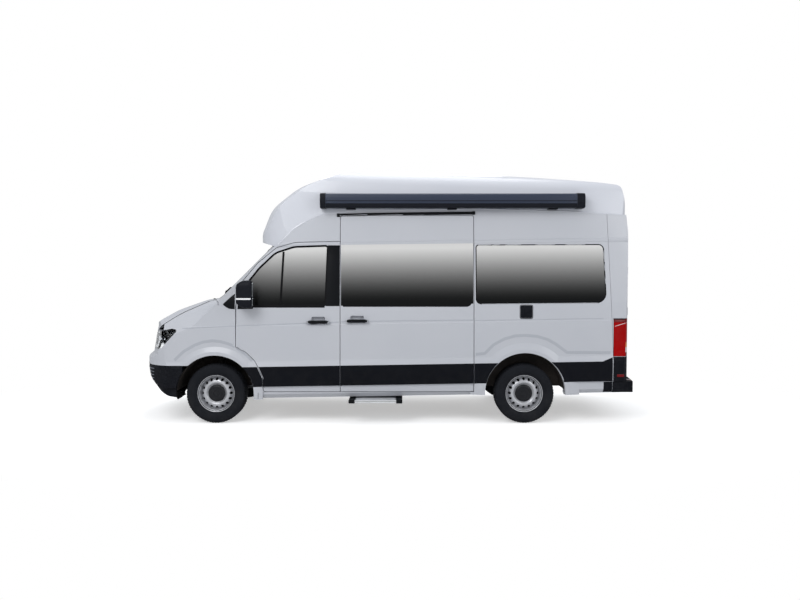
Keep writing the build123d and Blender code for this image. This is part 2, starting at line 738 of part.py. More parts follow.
# Awning cassette on the roof's left side
awning_front, awning_rear = 1247, 4319
awning_rows = [
    (-870, 2528, 0),
    (-1008, 2528, 30),
    (-1035, 2572, 40),
    (-1035, 2664, 40),
    (-1004, 2700, 34),
    (-870, 2700, 0),
]
roof_skin = roof_form(-seat_clearance)
awning = end_prism(rounded_face(awning_rows), at(awning_front), at(awning_rear))
cap_rows = [(a - 6 if a < -900 else a, b + (4 if b > 2600 else -4), r) for a, b, r in awning_rows]
for cap_front, cap_rear in ((awning_front - 4, awning_front + 60), (awning_rear - 92, awning_rear + 4)):
    awning = awning + end_prism(rounded_face(cap_rows), at(cap_front), at(cap_rear))
door_skin = section_form(-seat_clearance)
save("awning", awning - roof_skin - door_skin)

# Door mirrors
mirror_tip_y = 1213
housing = box(at(272), at(392), -mirror_tip_y, -1052, 1372, 1690)
housing = fillet(housing.edges().filter_by(Axis.X), 44)
housing = fillet(housing.faces().sort_by(Axis.X)[0].edges(), 34)
mirror_face = box(at(384), at(400), -mirror_tip_y + 16, -1066, 1396, 1672)
mirror_arm = box(at(300), at(372), -1060, -900, 1386, 1428)
mirror_foot = box(at(282), at(402), -1004, -900, 1372, 1442)
mirror_left = (housing - mirror_face + mirror_arm + mirror_foot) - door_skin
save("mirror_left", mirror_left)
save("mirror_right", mirrored(mirror_left))

# Chassis frame: two rails with jack pads, cross members, front beam, spring hangers and tow plate
rail_inner, rail_outer = 400, 460
rail_low, floor_low_z, floor_top_z = 470, 600, 640
rail_top = floor_low_z - seat_clearance
beam_rear, rail_rear = -790, 4690
rail_front = at(beam_rear) + seat_clearance
jack_pad_x, jack_pad_z, jack_pad_half = 1000, 458, 45
rail = box(rail_front, at(rail_rear), -rail_outer, -rail_inner, rail_low, rail_top)
pad_front, pad_rear = at(jack_pad_x - jack_pad_half), at(jack_pad_x + jack_pad_half)
rail = rail + box(pad_front, pad_rear, -rail_outer + 4, -rail_inner - 4, jack_pad_z, rail_low + 10)
frame_pieces = both(rail)
cross_half, cross_length = rail_inner - seat_clearance, 50
cross_low, cross_high = 500, 580
for distance in (350, 1250, 2150, 2950, 4330, 4640):
    cross_front, cross_rear = at(distance), at(distance + cross_length)
    frame_pieces.append(box(cross_front, cross_rear, -cross_half, cross_half, cross_low, cross_high))
under_rail = rail_low - seat_clearance
frame_pieces.append(box(at(-760), at(-680), -cross_half, cross_half, 430, rail_low + 10))
beam_zone = box(front_x, at(beam_rear), -540, 540, 506, 590)
frame_pieces.append(jamb_face & beam_zone)
spring_y0, spring_y1 = 520, 590
spring_low, spring_high = (2960, 470), (4320, 470)
hanger_outer, hanger_inner = -spring_y1 - 6, -rail_outer - seat_clearance
for distance in (spring_low[0], spring_high[0]):
    hanger = box(at(distance - 45), at(distance + 45), hanger_outer, hanger_inner, cross_low, rail_top)
    frame_pieces += both(hanger)
tow_plate = box(at(rail_rear - 60), at(rail_rear), -rail_outer, rail_outer, 420, under_rail)
tow_bolt_y, tow_bolt_z, tow_bolt_radius = 300, 450, 8.5
for bolt_y in (-tow_bolt_y, tow_bolt_y):
    bolt_place = Pos(at(rail_rear - 30), bolt_y, tow_bolt_z) * Rot(0, 90, 0)
    tow_plate = tow_plate - bolt_place * Cylinder(tow_bolt_radius, 200)
frame_pieces.append(tow_plate)
save("chassis_frame", *frame_pieces)

# Floor and bulkhead
floor_y = 909.7
cab_floor_front = 190
floor = box(at(cab_floor_front), at(4730), -floor_y, floor_y, floor_low_z, floor_top_z)
floor = floor + box(at(cab_floor_front), at(cab_floor_front + 30), -floor_y, floor_y, floor_top_z - 5, 1380)
step_front, step_rear = 1573, 2191
step_well = box(at(step_front), at(step_rear), -1300, -660, 500, 700)
floor = floor - (rear_arch_cut & box(front_x, rear_x, -1300, 1300, 0, 3000)) - front_arch_cut - step_well
floor = floor & cabin
save("floor_pan", floor)

# Wheel housings
def housing_shell(axle_x, centre_z, radius, inner_y):
    """A left wheel housing: a half drum over the tyre, closed on its inner side."""
    ring = Cylinder(radius - seat_clearance, 970 - inner_y) - Cylinder(radius - housing_gap, 970 - inner_y)
    ring = Pos(axle_x, -(970 + inner_y) / 2, centre_z) * Rot(90, 0, 0) * ring
    wall = Pos(axle_x, -inner_y + housing_thickness / 2, centre_z) * Rot(90, 0, 0) * Cylinder(
        radius - seat_clearance, housing_thickness)
    whole = (ring + wall) - box(axle_x - 600, axle_x + 600, -1300, 0, -300, centre_z + 40)
    return whole


front_inner_y, rear_inner_y = 527.3, 727.3
strut_y = 710
front_housing = housing_shell(front_axle_x, axle_height, arch_radius, front_inner_y)
rear_housing = housing_shell(rear_axle_x, rear_arch_z, rear_arch_radius, rear_inner_y)
axle_slot = box(front_axle_x - 150, front_axle_x + 190, -560, -500, 0, 560)
front_housing = front_housing - axle_slot
save("wheel_housings", *both(front_housing), *both(rear_housing))

# Engine and radiator
engine = box(at(-560), at(90), -380, 380, rail_low, 1010)
engine = fillet(engine.edges().filter_by(Axis.X), 40)
engine = engine + box(at(-420), at(-60), -300, 300, 1000, 1090)
save("engine", engine)
save("radiator", box(at(-742), at(-698), -390, 390, 480.3, 1010))

# Front suspension: subframe, lower arms, struts and steering rack
knuckle_low, knuckle_top = 245.3, 520
subframe = box(at(-240), at(260), -455, 455, 400, rail_low - seat_clearance)
for leg_x in (-60, 0):
    subframe = subframe + box(at(leg_x), at(leg_x + 60), -400, 400, 212, 410)
arm_rows = [(-380, -110), (-380, 110), (-735, 40), (-735, -40)]
arm_face = make_face(Polyline(*[(front_axle_x + b, a) for a, b in arm_rows], close=True))
lower_arm = Pos(0, 0, 215) * extrude(arm_face, amount=30)
subframe = subframe + lower_arm + mirrored(lower_arm)
rack_x = 150
rack = rod((at(rack_x), -640, 345), (at(rack_x), 640, 345), 14)
rack = rack + box(at(rack_x - 30), at(rack_x + 30), -360, 360, 325, 410)
subframe = subframe + rack
tie_end = Pos(at(rack_x), -655, 345) * Cylinder(22, 40)
subframe = subframe + tie_end + mirrored(tie_end)
strut = rod((front_axle_x, -strut_y, knuckle_top + seat_clearance), (front_axle_x, -strut_y, 796), 24)
strut = strut + rod((front_axle_x, -strut_y, 784), (front_axle_x, -strut_y, 798.6), 46)
save("front_suspension", subframe, strut, mirrored(strut))

# Steering knuckles with hubs and brake discs
knuckle = rod((front_axle_x, -strut_y, knuckle_low), (front_axle_x, -strut_y, knuckle_top), 22)
hub_inner = (front_axle_x, -strut_y + 10, axle_height)
hub_outer = (front_axle_x, -hub_face_y + 8.3, axle_height)
knuckle = knuckle + rod(hub_inner, hub_outer, 36)
knuckle = knuckle + rod((front_axle_x, -784, axle_height), (front_axle_x, -812, axle_height), 148)
steer_arm = box(front_axle_x, at(rack_x + 18), -strut_y - 16, -strut_y + 22, 288, 312)
knuckle = knuckle + steer_arm
knuckle = knuckle + box(front_axle_x - 110, front_axle_x - 60, -830, -760, axle_height - 60, axle_height + 60)
save("knuckle_left", knuckle)
save("knuckle_right", mirrored(knuckle))

# Rear axle and leaf springs
beam = box(rear_axle_x - 38, rear_axle_x + 38, -780, 780, axle_height - 38, axle_height + 38)
beam = fillet(beam.edges().filter_by(Axis.Y), 16)
for side_sign in (-1, 1):
    for y_inner, y_outer, radius in ((760, hub_face_y - 8.3, 36), (770, 820, 140)):
        spindle_inner = (rear_axle_x, side_sign * y_inner, axle_height)
        spindle_outer = (rear_axle_x, side_sign * y_outer, axle_height)
        beam = beam + rod(spindle_inner, spindle_outer, radius)
ends = [(at(spring_low[0]), spring_low[1]), (at(spring_high[0]), spring_high[1])]
leaf_mid = (rear_axle_x, axle_height + 52)
upper = ThreePointArc(ends[0], leaf_mid, ends[1])
lower = ThreePointArc(*[(a, b - 34) for a, b in (ends[0], leaf_mid, ends[1])])
leaf_face = make_face(upper + lower + Line(upper @ 0, lower @ 0) + Line(upper @ 1, lower @ 1))
leaf = side_prism(leaf_face, -spring_y1, -spring_y0)
for end_x, end_z in ends:
    leaf = leaf + Pos(end_x, -(spring_y0 + spring_y1) / 2, end_z - 0.3) * Rot(90, 0, 0) * Cylinder(30, 70)
beam = beam + leaf + mirrored(leaf)
save("rear_axle", beam)

# Exhaust and tanks
exhaust_route = [
    (300, 250, 395), (3000, 250, 395), (3180, 250, 455), (3950, 250, 455), (4200, 330, 420), (4560, 330, 400),
]
pipe = rod((at(2300), 250, 395), (at(2900), 250, 395), 90)
for (x0, y0, z0), (x1, y1, z1) in zip(exhaust_route, exhaust_route[1:]):
    pipe = pipe + rod((at(x0), y0, z0), (at(x1), y1, z1), 30) + Pos(at(x1), y1, z1) * Sphere(30)
cross_low_z = 500
for distance, strap_y in ((2165, 250), (4345, 330)):
    strap_top = cross_low_z - seat_clearance
    strap = box(at(distance), at(distance + 20), strap_y - 10, strap_y + 10, 395, strap_top)
    pipe = pipe + strap
save("exhaust", pipe)
fuel_tank = box(at(1330), at(2080), 480, 850, 350, floor_low_z - seat_clearance)
fuel_tank = fillet(fuel_tank.edges().filter_by(Axis.X), 40)
water_tank = box(at(2250), at(2900), -850, -480, 370, floor_low_z - seat_clearance)
water_tank = fillet(water_tank.edges().filter_by(Axis.X), 40)
save("tanks", fuel_tank, water_tank)

# Entrance step: cassette under the floor and the sliding tread, drawn out
step_top_z, step_low_z = 300, 258
step_reach = 200
cassette_front_y, cassette_rear_y = 830, 560
cassette_room = (-cassette_front_y, -cassette_rear_y, step_top_z, step_top_z + 16)
cassette = box(at(step_front + 6), at(step_rear - 6), *cassette_room)
hanger_box = (-638, -598, step_top_z + 10, floor_low_z - seat_clearance)
cassette = cassette + box(at(step_front + 30), at(step_rear - 30), *hanger_box)
save("step_frame", cassette)
tread_front_y, tread_rear_y = -900 - step_reach, -620
plate_x = (at(step_front + 72), at(step_rear - 62))
tread = box(*plate_x, tread_front_y, tread_rear_y, step_top_z - 24, step_top_z - 8)
tread = tread + box(*plate_x, tread_front_y, tread_front_y + 12, step_low_z + 6, step_top_z - 6)
for edge in (step_front, step_rear - 66):
    bracket_top = step_top_z - seat_clearance
    tread = tread + box(at(edge), at(edge + 76), tread_front_y, tread_rear_y, step_low_z, bracket_top)
save("step_tread", tread)

# Wheels and tyres
tyre_rows = [
    (rim_radius + 0.3, -78, 0), (222, -79, 6), (262, -108, 30), (308, -112.5, 40), (342, -98, 16),
    (350, -82, 20), (350, 82, 20), (342, 98, 16), (308, 112.5, 40), (262, 108, 30), (222, 79, 6),
    (rim_radius + 0.3, 78, 0),
]
tyre_face = Plane.XZ * rounded_face(tyre_rows)
tyre_ring = revolve(tyre_face, Axis.Z, 360)
wheel_rows = [
    (barrel_radius, -84, 0), (220, -84, 4), (220, -79.5, 0), (rim_radius, -79, 0), (rim_radius, 79, 0),
    (220, 79.5, 0), (220, 84, 4), (barrel_radius + 4, 84, 6), (barrel_radius, 20, 0), (174, 28, 12),
    (160, 52, 14), (128, 58, 14), (106, 44, 8), (104, 40, 0), (0, 40, 0), (0, 32, 0), (108, 32, 0),
    (128, 48, 10), (154, 43, 10), (168, 20, 10), (barrel_radius, 10, 0),
]
wheel_body = revolve(Plane.XZ * rounded_face(wheel_rows), Axis.Z, 360)
vent_count, vent_radius, vent_circle = 16, 17, 168
for vent in PolarLocations(vent_circle, vent_count):
    wheel_body = wheel_body - vent * Cylinder(vent_radius, 200)
cap = Pos(0, 0, 54) * Cylinder(101, 28)
cap = chamfer(cap.faces().sort_by(Axis.Z)[-1].edges(), 9)
wheel_body = wheel_body + cap
for name, offset_x in (("front", 0), ("rear", wheelbase)):
    place = Pos(front_axle_x + offset_x, -half_track, axle_height) * Rot(90, 0, 0)
    save(f"tyre_{name}_left", place * tyre_ring)
    save(f"tyre_{name}_right", mirrored(place * tyre_ring))
    save(f"wheel_{name}_left", place * wheel_body)
    save(f"wheel_{name}_right", mirrored(place * wheel_body))

# Cab interior
dash = cabin & box(at(cab_floor_front + 30.3), at(600), -860, 860, 1010, 1340)
dash = dash - Pos(at(640), 0, 1000) * Rot(90, 0, 0) * Cylinder(160, 3000)
column = rod((at(480), 430, 1150), (at(690), 430, 1235), 32)
wheel_plane = Plane(origin=(at(700), 430, 1240), z_dir=(210, 0, 85))
steering_wheel = wheel_plane * (Torus(185, 16) + Box(370, 36, 22) + Cylinder(60, 34))
save("dashboard", dash + column + steering_wheel)

seat_half, seat_y = 235, 430
seat_front, seat_rear = 930, 1420
seat = box(at(seat_front), at(seat_rear), -seat_half, seat_half, 960, 1080)
seat = fillet(seat.edges().filter_by(Axis.Y), 40)
back_rows = [
    (seat_rear - 90, 1070, 0),
    (seat_rear + 40, 1700, 50),
    (seat_rear + 140, 1690, 40),
    (seat_rear + 40, 1050, 30),
]
back = side_prism(rounded_face(shifted(back_rows)), -seat_half, seat_half)
rest_rows = [
    (seat_rear + 48, 1690, 10),
    (seat_rear + 70, 1890, 40),
    (seat_rear + 160, 1880, 40),
    (seat_rear + 130, 1680, 10),
]
rest = side_prism(rounded_face(shifted(rest_rows)), -130, 130)
pedestal = box(at(seat_front + 60), at(seat_rear - 40), -190, 190, floor_top_z + seat_clearance, 970)
whole_seat = seat + back + rest + pedestal
save("cab_seats", Pos(0, seat_y, 0) * whole_seat, Pos(0, -seat_y, 0) * whole_seat)

# Living space
floor_seat = floor_top_z + seat_clearance
kitchen = box(at(2300), at(3150), -850, -420, floor_seat, 1560)
save("kitchen_block", kitchen)
bench = box(at(1720), at(2380), 240, 840, floor_seat, 1060) + box(at(2270), at(2380), 240, 820, 1050, 1640)
save("bench_seat", fillet(bench.edges().filter_by(Axis.Y), 18))
save("wardrobe", box(at(2400), at(3250), 260, 780, floor_seat, 2300))
bed_base = box(at(3560), at(4690), -850, 850, 1120, 1160)
for foot_x in (3570, 4650):
    bed_base = bed_base + box(at(foot_x), at(foot_x + 30), -700, 700, floor_seat, 1130)
save("bed_base", bed_base)
save("mattress", fillet(box(at(3580), at(4670), -840, 840, 1160.3, 1290).edges(), 30))

# Service flap on the left side
flap = (outer & side_prism(outline(flap_rows), *near)) - glass_back
save("service_flap", flap)
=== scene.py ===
"""The looks of a high-roof camper van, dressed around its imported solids.

Everything is in metres in the van's own frame: its front points to -X, its left side, with the sliding
door, to -Y, up is +Z, and the origin is on the ground under the middle of the van. Tables give distances in
millimetres measured back from the front axle, and at() turns them into the frame.
"""

import logging
from dataclasses import dataclass, field
from enum import Enum
from math import atan2, cos, pi, radians, sin, tan
from typing import Callable, Iterable, Optional, Sequence

import bmesh
import bpy
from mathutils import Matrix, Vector
from mathutils.bvhtree import BVHTree


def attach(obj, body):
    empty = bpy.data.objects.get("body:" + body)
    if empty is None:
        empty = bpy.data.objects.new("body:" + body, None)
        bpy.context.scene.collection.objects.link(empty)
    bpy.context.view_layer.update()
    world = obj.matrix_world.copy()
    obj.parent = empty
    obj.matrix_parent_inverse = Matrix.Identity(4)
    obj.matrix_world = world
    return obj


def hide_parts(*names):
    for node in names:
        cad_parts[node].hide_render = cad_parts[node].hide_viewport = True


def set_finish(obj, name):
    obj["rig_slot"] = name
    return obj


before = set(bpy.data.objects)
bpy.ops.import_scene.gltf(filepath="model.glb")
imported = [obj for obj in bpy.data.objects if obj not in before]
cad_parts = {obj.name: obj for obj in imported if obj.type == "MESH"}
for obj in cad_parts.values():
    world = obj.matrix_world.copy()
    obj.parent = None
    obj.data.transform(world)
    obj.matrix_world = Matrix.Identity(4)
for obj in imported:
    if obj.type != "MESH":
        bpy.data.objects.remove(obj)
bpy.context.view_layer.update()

log = logging.getLogger("camper")

COLOUR, FLOAT, VECTOR = "NodeSocketColor", "NodeSocketFloat", "NodeSocketVector"

Colour = tuple[float, float, float]
Row = tuple[float, float, float]
Pair = tuple[float, float]
Triple = tuple[float, float, float]

FRONT_AXLE = -1.999
WHEELBASE = 3.640
RAKE = 0.016
TRACK_HALF = 0.865
AXLE_Z = 0.350
MM = 0.001


class Side(Enum):
    """The two sides of the van, by the sign of Y."""

    LEFT = -1
    RIGHT = 1

    @property
    def word(self) -> str:
        """The side's name as the nodes and bodies spell it."""
        return "left" if self is Side.LEFT else "right"


class Fall(Enum):
    """The direction in which a laid piece drops on the body."""

    ACROSS = "across"
    BACK = "back"
    FORWARD = "forward"
    DOWN = "down"


def at(distance: float) -> float:
    """The X of a distance in millimetres measured back from the front axle."""
    return FRONT_AXLE + distance * MM


def mix(a: float, b: float, share: float) -> float:
    """The value that lies at a share of the way from a to b."""
    return a + (b - a) * share


def even(low: float, high: float, steps: int) -> list[float]:
    """Evenly spaced values.

    Args:
        low: the first value.
        high: the last value.
        steps: the number of steps between them.

    Returns:
        One value more than the steps.
    """
    return [mix(low, high, k / steps) for k in range(steps + 1)]


def straight(start: Pair, end: Pair, steps: int) -> list[Pair]:
    """Evenly spaced points on a straight line.

    Args:
        start: the first point.
        end: the last point.
        steps: the number of steps between them.

    Returns:
        One point more than the steps.
    """
    return list(zip(even(start[0], end[0], steps), even(start[1], end[1], steps)))


def linear(red: int, green: int, blue: int) -> Colour:
    """A screen colour of 0 to 255 a channel as the linear colour that a shader takes."""
    def channel(value: int) -> float:
        """One channel, from 0 to 255, as a linear share."""
        share = value / 255
        return share / 12.92 if share <= 0.04045 else ((share + 0.055) / 1.055) ** 2.4
    return channel(red), channel(green), channel(blue)


# Shader node groups and finishes


def node(tree: bpy.types.NodeTree, kind: str, inputs: Optional[dict] = None,
         **settings: object) -> bpy.types.Node:
    """Add one shader node.

    Args:
        tree: the material's or group's tree.
        kind: the node type's name.
        inputs: by socket name or index, a value or an output socket to link.
        settings: properties of the node.
    Returns:
        The new node.
    """
    made = tree.nodes.new(kind)
    for key, value in settings.items():
        setattr(made, key, value)
    for key, value in (inputs or {}).items():
        socket = made.inputs[key]
        if isinstance(value, bpy.types.NodeSocket):
            tree.links.new(value, socket)
        elif isinstance(value, tuple) and len(value) == 3 and socket.type == "RGBA":
            socket.default_value = (*value, 1.0)
        else:
            socket.default_value = value
    return made


def maths(tree: bpy.types.NodeTree, operation: str, *values: object) -> bpy.types.NodeSocket:
    """The result socket of a maths node on up to three values or sockets."""
    made = node(tree, "ShaderNodeMath", dict(enumerate(values)), operation=operation)
    return made.outputs[0]


def blended(tree: bpy.types.NodeTree, share: object, first: object, second: object) -> bpy.types.NodeSocket:
    """The colour that lies at a share between two colours."""
    made = node(tree, "ShaderNodeMix", data_type="RGBA")
    for index, value in ((0, share), (6, first), (7, second)):
        if isinstance(value, bpy.types.NodeSocket):
            tree.links.new(value, made.inputs[index])
        else:
            made.inputs[index].default_value = (*value, 1.0) if isinstance(value, tuple) else value
    return made.outputs[2]


def ramped(tree: bpy.types.NodeTree, value: object, low: float, high: float) -> bpy.types.NodeSocket:
    """A smooth 0 to 1 mask as a value passes from low to high."""
    made = node(tree, "ShaderNodeMapRange", {0: value, 1: low, 2: high}, interpolation_type="SMOOTHSTEP")
    return made.outputs[0]


def object_place(tree: bpy.types.NodeTree) -> bpy.types.NodeSocket:
    """The place in the van's own frame that every pattern is laid by."""
    return node(tree, "ShaderNodeTexCoord").outputs["Object"]


class Effects:
    """The shader node groups that more than one material uses, each built once."""

    made: dict[str, bpy.types.NodeTree] = {}

    @classmethod
    def open_group(cls, name: str, inputs: Sequence[tuple[str, str, object]],
                   outputs: Sequence[tuple[str, str]]) -> tuple[bpy.types.NodeTree, bpy.types.Node,
                                                                bpy.types.Node]:
        """Start a group with named sockets.

        Args:
            name: the group's name.
            inputs: name, socket type and default of each input.
            outputs: name and socket type of each output.
        Returns:
            The tree, its input node and its output node.
        """
        tree = bpy.data.node_groups.new(name, "ShaderNodeTree")
        for title, kind, default in inputs:
            socket = tree.interface.new_socket(title, in_out="INPUT", socket_type=kind)
            socket.default_value = (*default, 1.0) if kind == COLOUR else default
        for title, kind in outputs:
            tree.interface.new_socket(title, in_out="OUTPUT", socket_type=kind)
        cls.made[name] = tree
        return tree, node(tree, "NodeGroupInput"), node(tree, "NodeGroupOutput")

    @classmethod
    def place(cls, tree: bpy.types.NodeTree, name: str, **inputs: object) -> bpy.types.Node:
        """Put a group into a material with its own values; an underscore in a name stands for a space."""
        values = {key.replace("_", " "): value for key, value in inputs.items()}
        made = node(tree, "ShaderNodeGroup")
        made.node_tree = cls.made[name]
        for key, value in values.items():
            socket = made.inputs[key]
            if isinstance(value, bpy.types.NodeSocket):
                tree.links.new(value, socket)
            else:
                socket.default_value = (*value, 1.0) if isinstance(value, tuple) else value
        return made

    @classmethod
    def build(cls) -> None:
        """Build every shared group."""
        cls.build_mottle()
        cls.build_dust()
        cls.build_wear()
        cls.build_grain()
        cls.build_weave()
        cls.build_fade()
        cls.build_timber()
        cls.build_ribs()

    @classmethod
    def build_mottle(cls) -> None:
        """Colour that drifts between two tones over the surface."""
        tree, given, out = cls.open_group(
            "Mottle",
            [("Colour", COLOUR, (0.8, 0.8, 0.8)), ("Tone", COLOUR, (0.7, 0.7, 0.7)),
             ("Scale", FLOAT, 2.0), ("Amount", FLOAT, 0.3)],
            [("Colour", COLOUR), ("Mask", FLOAT)])
        place = object_place(tree)
        noise = node(tree, "ShaderNodeTexNoise",
                     {"Vector": place, "Scale": given.outputs["Scale"], "Detail": 4.0})
        mask = ramped(tree, noise.outputs["Fac"], 0.3, 0.7)
        share = maths(tree, "MULTIPLY", mask, given.outputs["Amount"])
        tree.links.new(blended(tree, share, given.outputs["Colour"], given.outputs["Tone"]),
                       out.inputs["Colour"])
        tree.links.new(mask, out.inputs["Mask"])

    @classmethod
    def build_dust(cls) -> None:
        """Road dust that gathers low on the body, broken up by noise."""
        tree, given, out = cls.open_group(
            "RoadDust",
            [("Colour", COLOUR, (0.8, 0.8, 0.8)), ("Dust", COLOUR, (0.30, 0.27, 0.23)),
             ("Amount", FLOAT, 0.2), ("Height", FLOAT, 0.9),
             ("Roughness", FLOAT, 0.4)],
            [("Colour", COLOUR), ("Mask", FLOAT), ("Roughness", FLOAT)])
        place = object_place(tree)
        height = node(tree, "ShaderNodeSeparateXYZ", {0: place}).outputs["Z"]
        low = maths(tree, "SUBTRACT", 1.0, maths(tree, "DIVIDE", height, given.outputs["Height"]))
        low = maths(tree, "MAXIMUM", low, 0.0)
        noise = node(tree, "ShaderNodeTexNoise",
                     {"Vector": place, "Scale": 9.0, "Detail": 6.0, "Roughness": 0.7})
        broken = ramped(tree, noise.outputs["Fac"], 0.35, 0.75)
        mask = maths(tree, "MULTIPLY", maths(tree, "MULTIPLY", low, broken), given.outputs["Amount"])
        tree.links.new(blended(tree, mask, given.outputs["Colour"], given.outputs["Dust"]),
                       out.inputs["Colour"])
        tree.links.new(mask, out.inputs["Mask"])
        rough = maths(tree, "ADD", given.outputs["Roughness"], maths(tree, "MULTIPLY", mask, 0.35))
        tree.links.new(maths(tree, "MINIMUM", rough, 1.0), out.inputs["Roughness"])

    @classmethod
    def build_wear(cls) -> None:
        """Lighter, rubbed edges where the surface turns outwards."""
        tree, given, out = cls.open_group(
            "EdgeWear",
            [("Colour", COLOUR, (0.1, 0.1, 0.1)), ("Worn", COLOUR, (0.4, 0.4, 0.4)),
             ("Amount", FLOAT, 0.3)],
            [("Colour", COLOUR), ("Mask", FLOAT)])
        edge = ramped(tree, node(tree, "ShaderNodeNewGeometry").outputs["Pointiness"], 0.52, 0.62)
        place = object_place(tree)
        noise = node(tree, "ShaderNodeTexNoise", {"Vector": place, "Scale": 60.0, "Detail": 3.0})
        mask = maths(tree, "MULTIPLY", edge, ramped(tree, noise.outputs["Fac"], 0.4, 0.6))
        mask = maths(tree, "MULTIPLY", mask, given.outputs["Amount"])
        tree.links.new(blended(tree, mask, given.outputs["Colour"], given.outputs["Worn"]),
                       out.inputs["Colour"])
        tree.links.new(mask, out.inputs["Mask"])

    @classmethod
    def build_grain(cls) -> None:
        """A fine even pitting, as on moulded plastic or sprayed paint."""
        tree, given, out = cls.open_group(
            "FineGrain", [("Scale", FLOAT, 400.0), ("Detail", FLOAT, 2.0)],
            [("Height", FLOAT), ("Mask", FLOAT)])
        place = object_place(tree)
        noise = node(tree, "ShaderNodeTexNoise",
                     {"Vector": place, "Scale": given.outputs["Scale"], "Detail": given.outputs["Detail"]})
        tree.links.new(noise.outputs["Fac"], out.inputs["Height"])
        tree.links.new(ramped(tree, noise.outputs["Fac"], 0.4, 0.6), out.inputs["Mask"])

    @classmethod
    def build_weave(cls) -> None:
        """A woven cloth: two crossing sets of threads."""
        tree, given, out = cls.open_group(
            "Weave", [("Scale", FLOAT, 300.0)],
            [("Height", FLOAT), ("Mask", FLOAT)])
        place = object_place(tree)
        threads = []
        for direction in ("X", "Y", "Z"):
            wave = node(tree, "ShaderNodeTexWave", {"Vector": place, "Scale": given.outputs["Scale"],
                                                    "Distortion": 0.6, "Detail": 1.0},
                        bands_direction=direction)
            threads.append(wave.outputs["Fac"])
        weave = maths(tree, "ADD", maths(tree, "MULTIPLY", threads[0], threads[1]), threads[2])
        weave = maths(tree, "MULTIPLY", weave, 0.5)
        tree.links.new(weave, out.inputs["Height"])
        tree.links.new(ramped(tree, weave, 0.2, 0.8), out.inputs["Mask"])

    @classmethod
    def build_fade(cls) -> None:
        """A colour that fades from one height to another, along the van's rake; on the glass it paints a
        reflection at the top.
        """
        tree, given, out = cls.open_group(
            "HeightFade",
            [("Low Colour", COLOUR, (0.0, 0.0, 0.0)), ("High Colour", COLOUR, (1.0, 1.0, 1.0)),
             ("Low", FLOAT, 1.4), ("High", FLOAT, 2.1), ("Bend", FLOAT, 1.0)],
            [("Colour", COLOUR), ("Mask", FLOAT)])
        place = object_place(tree)
        parts = node(tree, "ShaderNodeSeparateXYZ", {0: place})
        height = maths(tree, "SUBTRACT", parts.outputs["Z"],
                       maths(tree, "MULTIPLY", parts.outputs["X"], RAKE / 2))
        mask = node(tree, "ShaderNodeMapRange",
                    {0: height, 1: given.outputs["Low"], 2: given.outputs["High"]})
        bent = maths(tree, "POWER", mask.outputs[0], given.outputs["Bend"])
        colour = blended(tree, bent, given.outputs["Low Colour"], given.outputs["High Colour"])
        tree.links.new(colour, out.inputs["Colour"])
        tree.links.new(bent, out.inputs["Mask"])

    @classmethod
    def build_timber(cls) -> None:
        """Straight wood grain with darker lines, along X."""
        tree, given, out = cls.open_group(
            "Timber",
            [("Colour", COLOUR, (0.6, 0.5, 0.4)), ("Tone", COLOUR, (0.4, 0.3, 0.2)),
             ("Scale", FLOAT, 14.0)],
            [("Colour", COLOUR), ("Height", FLOAT)])
        place = object_place(tree)
        stretched = node(tree, "ShaderNodeMapping", {"Vector": place, "Scale": (0.12, 1.0, 1.0)})
        noise = node(tree, "ShaderNodeTexNoise",
                     {"Vector": stretched.outputs[0], "Scale": given.outputs["Scale"],
                      "Detail": 7.0, "Roughness": 0.65, "Distortion": 1.2})
        mask = ramped(tree, noise.outputs["Fac"], 0.35, 0.7)
        tree.links.new(blended(tree, mask, given.outputs["Colour"], given.outputs["Tone"]),
                       out.inputs["Colour"])
        tree.links.new(noise.outputs["Fac"], out.inputs["Height"])

    @classmethod
    def build_ribs(cls) -> None:
        """Parallel ribs or flutes across a direction of the surface."""
        tree, given, out = cls.open_group(
            "Ribs", [("Scale", FLOAT, 40.0), ("Slant", VECTOR, (1.0, 0.0, 0.0))],
            [("Height", FLOAT), ("Mask", FLOAT)])
        place = object_place(tree)
        along = node(tree, "ShaderNodeVectorMath", {0: place, 1: given.outputs["Slant"]},
                     operation="DOT_PRODUCT")
        turn = maths(tree, "MULTIPLY", along.outputs["Value"], given.outputs["Scale"])
        wave = maths(tree, "SINE", turn)
        tree.links.new(wave, out.inputs["Height"])
        tree.links.new(ramped(tree, wave, -0.3, 0.3), out.inputs["Mask"])


